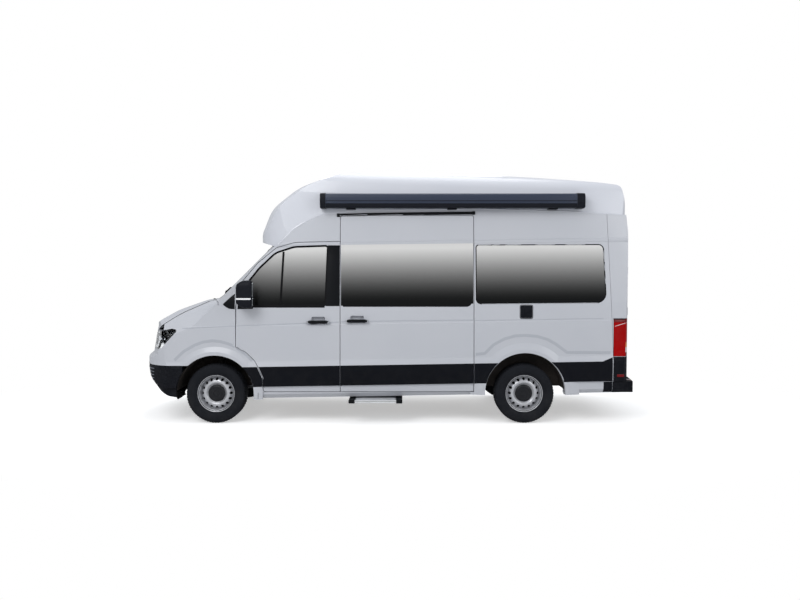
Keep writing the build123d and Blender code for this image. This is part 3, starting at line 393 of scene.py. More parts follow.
@dataclass(frozen=True)
class Finish:
    """A surface finish that becomes one material."""

    name: str
    slot: str
    colour: Colour
    tone: Colour
    roughness: float = 0.5
    metallic: float = 0.0
    coat: float = 0.0
    gloss: float = 0.5
    sheen: float = 0.0
    tone_scale: float = 1.5
    tone_amount: float = 0.4
    grain_scale: float = 500.0
    grain_depth: float = 0.15
    dust: float = 0.0
    dust_height: float = 0.9
    wear: float = 0.0
    worn: Colour = (0.45, 0.45, 0.46)

    def colour_socket(self, tree: bpy.types.NodeTree) -> bpy.types.NodeSocket:
        """The finish's own colour before wear and dust."""
        placed = Effects.place(tree, "Mottle", Colour=self.colour, Tone=self.tone, Scale=self.tone_scale,
                               Amount=self.tone_amount)
        return placed.outputs["Colour"]

    def height_socket(self, tree: bpy.types.NodeTree) -> bpy.types.NodeSocket:
        """The height that the bump is made from."""
        return Effects.place(tree, "FineGrain", Scale=self.grain_scale).outputs["Height"]

    def own_sockets(self, tree: bpy.types.NodeTree, shader: bpy.types.Node) -> None:
        """Values that only some finishes set on the shader."""

    def material(self) -> bpy.types.Material:
        """The finish's material, built the first time it is asked for."""
        known = bpy.data.materials.get(self.name)
        if known is not None:
            return known
        made = bpy.data.materials.new(self.name)
        made.use_nodes = True
        tree = made.node_tree
        shader = tree.nodes["Principled BSDF"]
        shader.inputs["Metallic"].default_value = self.metallic
        shader.inputs["Coat Weight"].default_value = self.coat
        shader.inputs["Specular IOR Level"].default_value = self.gloss
        shader.inputs["Coat Roughness"].default_value = 0.08
        shader.inputs["Sheen Weight"].default_value = self.sheen
        shader.inputs["Sheen Roughness"].default_value = 0.5
        colour = self.colour_socket(tree)
        if self.wear:
            colour = Effects.place(tree, "EdgeWear", Colour=colour, Worn=self.worn,
                                   Amount=self.wear).outputs["Colour"]
        dusty = Effects.place(tree, "RoadDust", Colour=colour, Amount=self.dust, Height=self.dust_height,
                              Roughness=self.roughness)
        tree.links.new(dusty.outputs["Colour"], shader.inputs["Base Color"])
        tree.links.new(dusty.outputs["Roughness"], shader.inputs["Roughness"])
        bump = node(tree, "ShaderNodeBump", {"Strength": self.grain_depth, "Distance": 0.001,
                                             "Height": self.height_socket(tree)})
        tree.links.new(bump.outputs["Normal"], shader.inputs["Normal"])
        self.own_sockets(tree, shader)
        return made


@dataclass(frozen=True)
class ClothFinish(Finish):
    """Woven upholstery or bed cloth."""

    thread_scale: float = 260.0

    def height_socket(self, tree: bpy.types.NodeTree) -> bpy.types.NodeSocket:
        """The weave's height."""
        return Effects.place(tree, "Weave", Scale=self.thread_scale).outputs["Height"]


@dataclass(frozen=True)
class TimberFinish(Finish):
    """Laminated board or floor with wood grain."""

    grain_size: float = 14.0

    def colour_socket(self, tree: bpy.types.NodeTree) -> bpy.types.NodeSocket:
        """The grain's colour."""
        return Effects.place(tree, "Timber", Colour=self.colour, Tone=self.tone,
                             Scale=self.grain_size).outputs["Colour"]

    def height_socket(self, tree: bpy.types.NodeTree) -> bpy.types.NodeSocket:
        """The grain's height."""
        return Effects.place(tree, "Timber", Scale=self.grain_size).outputs["Height"]


@dataclass(frozen=True)
class RibbedFinish(Finish):
    """A finish with parallel ribs, such as a step tread or a lamp's fluted cover."""

    rib_scale: float = 400.0
    slant: Triple = (0.0, 1.0, 0.0)

    def height_socket(self, tree: bpy.types.NodeTree) -> bpy.types.NodeSocket:
        """The ribs' height."""
        return Effects.place(tree, "Ribs", Scale=self.rib_scale, Slant=Vector(self.slant)).outputs["Height"]


@dataclass(frozen=True)
class GlassFinish(Finish):
    """Glass whose colour fades with height: on the privacy and cab glass, the light top edge above the dark
    pane is a painted reflection.
    """

    top_tint_and_reflection: Colour = (0.5, 0.5, 0.5)
    low: float = 1.40
    high: float = 2.12
    bend: float = 1.8
    index: float = 1.45
    see_through: float = 0.0

    def colour_socket(self, tree: bpy.types.NodeTree) -> bpy.types.NodeSocket:
        """The glass's colour by height, with the painted reflection at the top."""
        return Effects.place(tree, "HeightFade", Low_Colour=self.colour, High_Colour=self.top_tint_and_reflection,
                             Low=self.low, High=self.high, Bend=self.bend).outputs["Colour"]

    def own_sockets(self, tree: bpy.types.NodeTree, shader: bpy.types.Node) -> None:
        """Glass lets some light through."""
        shader.inputs["Transmission Weight"].default_value = self.see_through
        shader.inputs["IOR"].default_value = self.index


WHITE_PAINT = Finish("BodyPaint", "body_paint", linear(189, 191, 197), linear(184, 187, 194), roughness=0.32,
                     coat=0.3, gloss=0.4, tone_scale=0.8,
                     tone_amount=0.6, grain_scale=900.0, grain_depth=0.02, dust=0.05, dust_height=0.6)
ROOF_SHELL = Finish("RoofGelcoat", "roof_gelcoat", linear(206, 208, 215), linear(200, 203, 211),
                    roughness=0.30,
                    coat=0.3, gloss=0.4, tone_scale=0.7, tone_amount=0.6, grain_scale=500.0,
                    grain_depth=0.03)
DARK_PLASTIC = Finish("GrainedPlastic", "dark_plastic", linear(12, 14, 20), linear(15, 17, 24),
                      roughness=0.55,
                      gloss=0.08, tone_scale=3.0, grain_scale=700.0, grain_depth=0.25, dust=0.03, wear=0.04,
                      worn=(0.16, 0.17, 0.19))
BLACK_PLASTIC = Finish("SmoothBlackPlastic", "dark_plastic", linear(9, 11, 15), linear(15, 17, 21),
                       roughness=0.35, gloss=0.14,
                       tone_scale=4.0, grain_scale=900.0, grain_depth=0.08)
BLACK_RUBBER = Finish("SealRubber", "dark_plastic", linear(12, 12, 14), linear(18, 18, 20), roughness=0.7,
                      gloss=0.12,
                      tone_scale=8.0, grain_scale=900.0, grain_depth=0.12)
HOUSING_BROWN = Finish("ArchLining", "dark_plastic", linear(50, 46, 44), linear(30, 28, 27), roughness=0.8,
                       gloss=0.1,
                       tone_scale=5.0, grain_scale=220.0, grain_depth=0.6, dust=0.08, dust_height=1.2)
ANTHRACITE = Finish("AwningCoating", "anthracite", linear(46, 54, 72), linear(40, 48, 66), roughness=0.42,
                    gloss=0.3, tone_scale=2.0, grain_scale=1200.0, grain_depth=0.06, wear=0.1)
ANTHRACITE_DARK = Finish("AwningCapPlastic", "anthracite", linear(18, 20, 27), linear(24, 26, 33),
                         roughness=0.5, gloss=0.12, tone_scale=5.0, grain_scale=700.0, grain_depth=0.3)
TYRE_RUBBER = Finish("TyreRubber", "tyre", linear(24, 26, 31), linear(32, 34, 39), roughness=0.82,
                     tone_scale=6.0,
                     gloss=0.14, grain_scale=420.0, grain_depth=0.3, dust=0.03, dust_height=0.8)
RIM_SILVER = Finish("WheelSilver", "wheel_silver", linear(196, 197, 201), linear(178, 180, 185),
                    roughness=0.38,
                    metallic=0.55, coat=0.3, tone_scale=5.0, grain_scale=1200.0, grain_depth=0.05, dust=0.12,
                    dust_height=0.8)
CAP_PLASTIC = Finish("WheelCapPlastic", "dark_plastic", linear(14, 16, 22), linear(18, 20, 26),
                     roughness=0.4, gloss=0.3,
                     tone_scale=9.0, grain_scale=800.0, grain_depth=0.2, dust=0.04, dust_height=0.8)
CHASSIS_BLACK = Finish("ChassisPaint", "chassis_steel", linear(24, 25, 28), linear(38, 35, 33),
                       roughness=0.6,
                       gloss=0.12, tone_scale=6.0, grain_scale=300.0, grain_depth=0.4, dust=0.15,
                       dust_height=1.2, wear=0.2, worn=(0.16, 0.12, 0.09))
CAST_METAL = Finish("BareMetal", "bare_metal", linear(126, 124, 122), linear(92, 84, 78), roughness=0.5,
                    metallic=0.8, tone_scale=14.0, tone_amount=0.7, grain_scale=260.0, grain_depth=0.45,
                    dust=0.3)
ENGINE_METAL = Finish("EngineBlock", "engine_block", linear(84, 84, 88), linear(60, 60, 62), roughness=0.6,
                      metallic=0.4, tone_scale=10.0, tone_amount=0.7, grain_scale=180.0, grain_depth=0.6)
STEP_METAL = RibbedFinish("StepAluminium", "step_aluminium", linear(186, 188, 192), linear(170, 172, 176),
                          roughness=0.42, metallic=0.5, tone_scale=6.0, grain_depth=0.5, rib_scale=700.0)
STEP_WHITE = Finish("StepEdge", "step_aluminium", linear(226, 228, 230), linear(210, 212, 214),
                    roughness=0.5, tone_scale=12.0, grain_scale=500.0, grain_depth=0.2, dust=0.3)
CHROME = Finish("LampReflector", "lamp_lens", linear(226, 228, 232), linear(200, 202, 206), roughness=0.10,
                metallic=1.0, tone_scale=20.0, tone_amount=0.3, grain_scale=200.0, grain_depth=0.02)
LAMP_GLOW = Finish("LampWhite", "lamp_lens", linear(246, 246, 248), linear(230, 232, 236), roughness=0.25,
                   coat=0.6, tone_scale=20.0, tone_amount=0.3, grain_scale=300.0, grain_depth=0.05)
LAMP_COVER = GlassFinish("LampCover", "lamp_lens", (0.92, 0.94, 0.96), (1.0, 1.0, 1.0), roughness=0.03,
                         gloss=0.2, index=1.12, grain_scale=300.0, grain_depth=0.01,
                         top_tint_and_reflection=(0.95, 0.97, 1.0), see_through=1.0)
RED_LENS = RibbedFinish("RedLampCover", "tail_lens", linear(160, 5, 6), linear(136, 4, 6), roughness=0.2,
                        gloss=0.06, coat=0.0, tone_scale=4.0, grain_depth=0.35, rib_scale=900.0,
                        slant=(0.0, 0.0, 1.0))
RED_DARK = Finish("RedReflector", "tail_lens", linear(112, 12, 18), linear(92, 8, 14), roughness=0.2,
                  gloss=0.15, coat=0.1, tone_scale=20.0, grain_scale=260.0, grain_depth=0.5)
AMBER_LENS = Finish("AmberLampCover", "tail_lens", linear(214, 118, 30), linear(190, 96, 18), roughness=0.2,
                    coat=0.6, tone_scale=12.0, grain_scale=260.0, grain_depth=0.4)
# Painted shade: a paint a little darker than the body, laid in thin strips on the panels' creases and flare
# edges
PAINTED_CREASE_SHADE = Finish("PaintedCreaseShade", "body_paint", linear(173, 176, 183), linear(169, 172, 179),
                      roughness=0.5, gloss=0.2, tone_scale=0.8, grain_scale=900.0, grain_depth=0.02)
LOUVRE_GREY = Finish("LouvreEdge", "dark_plastic", linear(104, 108, 118), linear(84, 88, 98), roughness=0.45,
                     tone_scale=20.0, grain_scale=700.0, grain_depth=0.1)
CLEAR_LENS = Finish("ClearLampCover", "tail_lens", linear(214, 200, 202), linear(190, 170, 172),
                    roughness=0.18, coat=0.6, tone_scale=12.0, grain_scale=260.0, grain_depth=0.4)
# Painted reflection: the dark privacy glass fades to a light grey at its top
PRIVACY_GLASS = GlassFinish("PrivacyGlass", "side_glass", linear(11, 12, 12), linear(16, 16, 16),
                            roughness=0.06,
                            gloss=0.2, grain_scale=60.0, grain_depth=0.004, top_tint_and_reflection=linear(214, 213, 211),
                            low=1.43, high=2.06, bend=2.0)
# Painted reflection: the dark cab glass fades to a light grey at its top
CAB_GLASS = GlassFinish("CabGlass", "screen_glass", linear(13, 14, 14), linear(18, 18, 18), roughness=0.06,
                        gloss=0.2, grain_scale=60.0, grain_depth=0.004, top_tint_and_reflection=linear(214, 213, 211),
                        low=1.41, high=2.06, bend=2.0)
SCREEN_GLASS = GlassFinish("ScreenGlass", "screen_glass", linear(120, 132, 134), linear(120, 132, 134),
                           roughness=0.02, grain_scale=60.0, grain_depth=0.004,
                           top_tint_and_reflection=linear(110, 124, 128), low=1.45, high=2.05, see_through=0.82)
MIRROR_GLASS = Finish("MirrorGlass", "dark_plastic", linear(210, 214, 218), linear(200, 204, 208),
                      roughness=0.03,
                      metallic=1.0, tone_scale=3.0, tone_amount=0.2, grain_scale=60.0, grain_depth=0.01)
SEAT_CLOTH = ClothFinish("SeatCloth", "seat_cloth", linear(84, 88, 98), linear(70, 74, 84), roughness=0.9,
                         sheen=0.3, tone_scale=6.0, grain_depth=0.7)
SEAT_SIDE = ClothFinish("SeatBolsterCloth", "seat_cloth", linear(52, 54, 60), linear(44, 46, 52),
                        roughness=0.85, sheen=0.2, tone_scale=6.0, grain_depth=0.5)
BED_CLOTH = ClothFinish("MattressCloth", "mattress_cloth", linear(204, 200, 192), linear(190, 186, 178),
                        roughness=0.92, sheen=0.25, tone_scale=5.0, grain_depth=0.6, thread_scale=180.0)
FLOOR_BOARD = TimberFinish("FloorBoards", "floor_board", linear(160, 136, 108), linear(112, 90, 66),
                           roughness=0.5, grain_depth=0.2, grain_size=9.0)
LIGHT_BOARD = TimberFinish("CabinetBoard", "furniture_board", linear(216, 208, 196), linear(190, 178, 160),
                           roughness=0.45, coat=0.2, grain_depth=0.1, grain_size=16.0)
WORKTOP = Finish("WorktopLaminate", "furniture_board", linear(98, 96, 94), linear(70, 68, 66),
                 roughness=0.35,
                 coat=0.3, tone_scale=60.0, tone_amount=0.8, grain_scale=200.0, grain_depth=0.1)
STEEL_TRIM = Finish("BrushedSteel", "bare_metal", linear(188, 190, 192), linear(170, 172, 176),
                    roughness=0.28, metallic=1.0, tone_scale=10.0, grain_scale=600.0, grain_depth=0.1)

NODE_FINISHES: dict[str, Finish] = {
    **dict.fromkeys(["side_left", "side_right", "rear_frame", "screen_frame", "front_wings", "nose_panel",
                     "sliding_door", "bonnet", "cab_door_left", "cab_door_right", "rear_door_left",
                     "rear_door_right"], WHITE_PAINT),
    "roof": ROOF_SHELL,
    **dict.fromkeys(["front_bumper", "rear_bumper", "grille", "dashboard", "service_flap"], DARK_PLASTIC),
    **dict.fromkeys(["mirror_left", "mirror_right"], BLACK_PLASTIC),
    **dict.fromkeys(["side_windows", "rear_glass_left", "rear_glass_right"], PRIVACY_GLASS),
    **dict.fromkeys(["cab_glass_left", "cab_glass_right"], CAB_GLASS),
    "windscreen": SCREEN_GLASS,
    "headlamps": LAMP_COVER,
    "tail_lamps": RED_LENS,
    "awning": ANTHRACITE,
    **dict.fromkeys(["chassis_frame", "front_suspension", "rear_axle", "step_frame"], CHASSIS_BLACK),
    **dict.fromkeys(["knuckle_left", "knuckle_right", "exhaust"], CAST_METAL),
    **dict.fromkeys(["engine", "radiator"], ENGINE_METAL),
    "wheel_housings": HOUSING_BROWN,
    "tanks": DARK_PLASTIC,
    "step_tread": STEP_METAL,
    "floor_pan": FLOOR_BOARD,
    **dict.fromkeys(["kitchen_block", "wardrobe", "bed_base"], LIGHT_BOARD),
    **dict.fromkeys(["bench_seat", "cab_seats"], SEAT_CLOTH),
    "mattress": BED_CLOTH,
}


# Mesh tools


def rounded_path(rows: Sequence[Row], closed: bool = True, steps: int = 6) -> list[Vector]:
    """Corner rows as a smooth path.

    Args:
        rows: distance from the front axle, height and corner radius, in millimetres.
        closed: whether the last row joins the first.
        steps: pieces in each rounded corner.
    Returns:
        Points (x, z) in metres.
    """
    points = [Vector((at(a), b * MM)) for a, b, _ in rows]
    count = len(points)
    path: list[Vector] = []
    for i, (point, row) in enumerate(zip(points, rows)):
        if row[2] == 0 or (not closed and i in (0, count - 1)):
            path.append(point)
            continue
        before = (points[i - 1] - point).normalized()
        after = (points[(i + 1) % count] - point).normalized()
        half = before.angle(after) / 2
        start = point + before * (row[2] * MM / tan(half))
        end = point + after * (row[2] * MM / tan(half))
        middle = point + (before + after).normalized() * (row[2] * MM / sin(half))
        for k in range(steps + 1):
            spot = start.lerp(end, k / steps) - middle
            path.append(middle + spot.normalized() * row[2] * MM)
    return path


def spaced(path: Sequence[Vector], step: float, closed: bool = False) -> list[Vector]:
    """A path with points added so that none are further apart than step."""
    ends = list(path) + ([path[0]] if closed else [])
    filled: list[Vector] = []
    for here, there in zip(ends, ends[1:]):
        parts = max(1, round((there - here).length / step))
        filled += [here.lerp(there, k / parts) for k in range(parts)]
    return filled if closed else filled + [ends[-1]]


def beside(path: Sequence[Vector], gap: float, closed: bool = False) -> list[Vector]:
    """A path moved sideways by gap, to the left of its direction."""
    moved = []
    count = len(path)
    for i, point in enumerate(path):
        before = path[i - 1] if closed or i else point
        after = path[(i + 1) % count] if closed or i < count - 1 else point
        along = (after - before).normalized()
        moved.append(point + Vector((-along.y, along.x)) * gap)
    return moved


def eased_corners(corners: Sequence[Vector], size: float, steps: int = 6) -> list[Vector]:
    """A closed outline whose corners are rounded over a length along each side.

    Args:
        corners: the outline's corners.
        size: how far from a corner its curve starts.
        steps: pieces in each curve.
    Returns:
        The points of the outline.
    """
    loop: list[Vector] = []
    for k, corner in enumerate(corners):
        before = (corners[k - 1] - corner).normalized()
        after = (corners[(k + 1) % len(corners)] - corner).normalized()
        for i in range(steps + 1):
            share = i / steps
            loop.append(corner + before * size * (1 - share) ** 2 + after * size * share ** 2)
    return loop


def rounded_box_loop(width: float, height: float, radius: float, steps: int = 5) -> list[Vector]:
    """The outline of a rounded rectangle about the origin."""
    loop = []
    for sx, sy, turn in ((1, 1, 0.0), (-1, 1, pi / 2), (-1, -1, pi), (1, -1, 1.5 * pi)):
        middle = Vector((sx * (width / 2 - radius), sy * (height / 2 - radius)))
        for k in range(steps + 1):
            angle = turn + k * pi / 2 / steps
            loop.append(middle + Vector((cos(angle), sin(angle))) * radius)
    return loop


def add_piece(name: str, verts: Iterable[Sequence[float]], faces: Iterable[Sequence[int]], body: str,
              finish: Finish, sharp: float = 32.0) -> bpy.types.Object:
    """Make one visible piece from its points and faces.

    Args:
        name: the piece's name.
        verts: points in the van's frame.
        faces: indices into verts.
        body: the body it rides on.
        finish: its finish.
        sharp: the angle in degrees above which an edge stays sharp.
    Returns:
        The new object.
    """
    mesh = bpy.data.meshes.new(name)
    mesh.from_pydata([tuple(v) for v in verts], [], [tuple(f) for f in faces])
    shape = bmesh.new()
    shape.from_mesh(mesh)
    bmesh.ops.remove_doubles(shape, verts=shape.verts, dist=1e-6)
    bmesh.ops.recalc_face_normals(shape, faces=shape.faces)
    shape.to_mesh(mesh)
    shape.free()
    mesh.polygons.foreach_set("use_smooth", [True] * len(mesh.polygons))
    mesh.set_sharp_from_angle(angle=radians(sharp))
    mesh.materials.append(finish.material())
    piece = bpy.data.objects.new(name, mesh)
    bpy.context.scene.collection.objects.link(piece)
    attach(piece, body)
    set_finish(piece, finish.slot)
    return piece


def softened(piece: bpy.types.Object, width: float, segments: int = 2) -> bpy.types.Object:
    """Round a piece's hard edges."""
    bevel = piece.modifiers.new("edges", "BEVEL")
    bevel.width = width
    bevel.segments = segments
    bevel.limit_method = "ANGLE"
    bevel.angle_limit = radians(35)
    bevel.harden_normals = True
    return piece


def subdivided(piece: bpy.types.Object, levels: int = 2) -> bpy.types.Object:
    """Smooth a piece by subdivision."""
    smooth = piece.modifiers.new("smooth", "SUBSURF")
    smooth.levels = smooth.render_levels = levels
    return piece


def thickened(piece: bpy.types.Object, thickness: float, offset: float = -1.0) -> bpy.types.Object:
    """Give an open sheet a thickness."""
    solid = piece.modifiers.new("thickness", "SOLIDIFY")
    solid.thickness = thickness
    solid.offset = offset
    return piece


def raised(step: float, top: float, foot: float = -0.004) -> tuple[float, ...]:
    """The lifts of a plate's six lines: sunk at both edges, a step, and a flat top."""
    return foot, step, top, top, step, foot


class Shape:
    """Points and faces being gathered for one piece."""

    def __init__(self) -> None:
        """Start empty."""
        self.verts: list[Sequence[float]] = []
        self.faces: list[Sequence[int]] = []

    def loft(self, rings: Sequence[Sequence[Sequence[float]]], closed: bool = True, caps: bool = True,
             loop: bool = False) -> "Shape":
        """Skin a row of rings.

        Args:
            rings: rings with the same number of points.
            closed: whether each ring closes on itself.
            caps: whether the first and last ring are filled.
            loop: whether the last ring joins the first.
        Returns:
            The shape itself.
        """
        base = len(self.verts)
        count = len(rings[0])
        for ring in rings:
            self.verts.extend(ring)
        spans = len(rings) if loop else len(rings) - 1
        for i in range(spans):
            low = base + i * count
            high = base + ((i + 1) % len(rings)) * count
            for k in range(count if closed else count - 1):
                k2 = (k + 1) % count
                self.faces.append((low + k, low + k2, high + k2, high + k))
        if caps and not loop:
            self.faces.append(tuple(range(base + count - 1, base - 1, -1)))
            last = base + (len(rings) - 1) * count
            self.faces.append(tuple(range(last, last + count)))
        return self

    def slab(self, low: Triple, high: Triple) -> "Shape":
        """Add a straight-edged block between two corners, to be softened afterwards."""
        (x0, y0, z0), (x1, y1, z1) = low, high
        ring = [(x0, y0), (x1, y0), (x1, y1), (x0, y1)]
        return self.loft([[(x, y, z) for x, y in ring] for z in (z0, z1)])

    def turned(self, profile: Sequence[Pair], place: Callable[[float, float, float], Triple],
               count: int = 48, caps: bool = False, loop: bool = False) -> "Shape":
        """Add a turned form.

        Args:
            profile: (radius, height) pairs along the form.
            place: gives the point of a radius, an angle and a height.
            count: points round each ring.
            caps: whether the ends are filled.
            loop: whether the profile closes on itself.
        Returns:
            The shape itself.
        """
        rings = [[place(r, 2 * pi * k / count, h) for k in range(count)] for r, h in profile]
        return self.loft(rings, caps=caps, loop=loop)

    def tube(self, points: Sequence[Sequence[float]], radius: float, sides: int = 10) -> "Shape":
        """Add a round bar along a line of points."""
        line = [Vector(p) for p in points]
        up = Vector((0.31, 0.17, 0.94))
        rings = []
        for i, point in enumerate(line):
            along = (line[min(i + 1, len(line) - 1)] - line[max(i - 1, 0)]).normalized()
            across = along.cross(up).normalized()
            over = across.cross(along)
            rings.append([point + (across * cos(t) + over * sin(t)) * radius
                          for t in (2 * pi * k / sides for k in range(sides))])
        return self.loft(rings)

    def piece(self, name: str, body: str, finish: Finish, sharp: float = 32.0) -> bpy.types.Object:
        """Turn what was gathered into a piece."""
        return add_piece(name, self.verts, self.faces, body, finish, sharp)


class Skin:
    """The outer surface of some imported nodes, on which details are laid."""

    def __init__(self, *nodes: str) -> None:
        """Gather the nodes' faces for ray casts."""
        verts: list[Vector] = []
        faces: list[tuple[int, ...]] = []
        for name in nodes:
            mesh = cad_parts[name].data
            base = len(verts)
            verts += [v.co.copy() for v in mesh.vertices]
            faces += [tuple(base + i for i in p.vertices) for p in mesh.polygons]
        self.tree = BVHTree.FromPolygons(verts, faces)

    def drop(self, fall: Fall, side: Side, a: float, b: float, lift: float) -> Optional[Triple]:
        """Lay one point on the surface.

        Args:
            fall: the direction the point falls in.
            side: the side it falls from, for Fall.ACROSS.
            a: x for ACROSS and DOWN, y for BACK and FORWARD.
            b: z, or y for DOWN.
            lift: how far it stands off the surface.
        Returns:
            The point, or None where there is no surface.
        """
        if fall is Fall.ACROSS:
            start, way = Vector((a, side.value * 2.0, b)), Vector((0, -side.value, 0))
        elif fall is Fall.BACK:
            start, way = Vector((-4.0, a, b)), Vector((1, 0, 0))
        elif fall is Fall.FORWARD:
            start, way = Vector((4.0, a, b)), Vector((-1, 0, 0))
        else:
            start, way = Vector((a, b, 4.0)), Vector((0, 0, -1))
        hit = self.tree.ray_cast(start, way)[0]
        return tuple(hit - way * lift) if hit is not None else None

    def lay(self, name: str, fall: Fall, side: Side, lines: Sequence[Sequence[Vector]],
            lifts: Sequence[float], body: str, finish: Finish, closed: bool = False, ends: float = 0.004,
            sharp: float = 32.0) -> bpy.types.Object:
        """Lay a strip or patch on the surface.

        Args:
            name: the piece's name.
            fall: the direction it falls in.
            side: the side it falls from.
            lines: lines of points that run along the piece, all with the same number of points.
            lifts: how far each line stands off the surface; the outer ones are negative, to close the edge.
            body: the body it rides on.
            finish: its finish.
            closed: whether the lines close on themselves.
            ends: how far the open ends are sunk.
            sharp: the angle above which an edge stays sharp.
        Returns:
            The new piece.
        """
        rings = []
        for line, lift in zip(lines, lifts):
            ring: list[Triple] = []
            for point in line:
                laid = self.drop(fall, side, point.x, point.y, lift)
                ring.append(laid if laid is not None else (ring[-1] if ring else None))
            first = next((p for p in ring if p is not None), None)
            if first is None:
                continue
            ring = [p if p is not None else first for p in ring]
            if not closed:
                sunk_lift = min(lift, -ends)
                head = self.drop(fall, side, line[0].x, line[0].y, sunk_lift)
                tail = self.drop(fall, side, line[-1].x, line[-1].y, sunk_lift)
                ring = [head or ring[0], *ring, tail or ring[-1]]
            rings.append(ring)
        shape = Shape().loft(rings, closed=closed, caps=False)
        return shape.piece(name, body, finish, sharp)

    def ribbon(self, name: str, fall: Fall, side: Side, path: Sequence[Vector], width: float, lift: float,
               body: str, finish: Finish, closed: bool = False, shoulder: float = 0.2) -> bpy.types.Object:
        """Lay a narrow strip with softened shoulders along a path.

        Args:
            name: the piece's name.
            fall: the direction it falls in.
            side: the side it falls from.
            path: the strip's middle line.
            width: its width.
            lift: its height off the surface.
            body: the body it rides on.
            finish: its finish.
            closed: whether the path closes on itself.
            shoulder: the share of the half width that is sloped.
        Returns:
            The new piece.
        """
        half = width / 2
        spans = max(1, round(width / 0.008))
        flat = [mix(-half, half, k / spans) * (1 - shoulder) for k in range(spans + 1)]
        offsets = [-half, -half, *flat, half, half]
        lifts = [-0.004, lift * 0.5, *[lift] * len(flat), lift * 0.5, -0.004]
        lines = [beside(path, gap, closed) for gap in offsets]
        return self.lay(name, fall, side, lines, lifts, body, finish, closed, sharp=40)


# Carried nodes


@dataclass
class CarriedNodes:
    """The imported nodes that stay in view, each with its finish."""

    finishes: dict[str, Finish] = field(default_factory=lambda: NODE_FINISHES)

    def build(self) -> None:
        """Give every node its material and slot."""
        for name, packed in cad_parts.items():
            finish = self.finishes.get(name, TYRE_RUBBER if name.startswith("tyre") else RIM_SILVER)
            mesh = packed.data
            mesh.materials.clear()
            mesh.materials.append(finish.material())
            packed["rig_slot"] = finish.slot
            log.info("node %s in %s", name, finish.name)


# Wheels


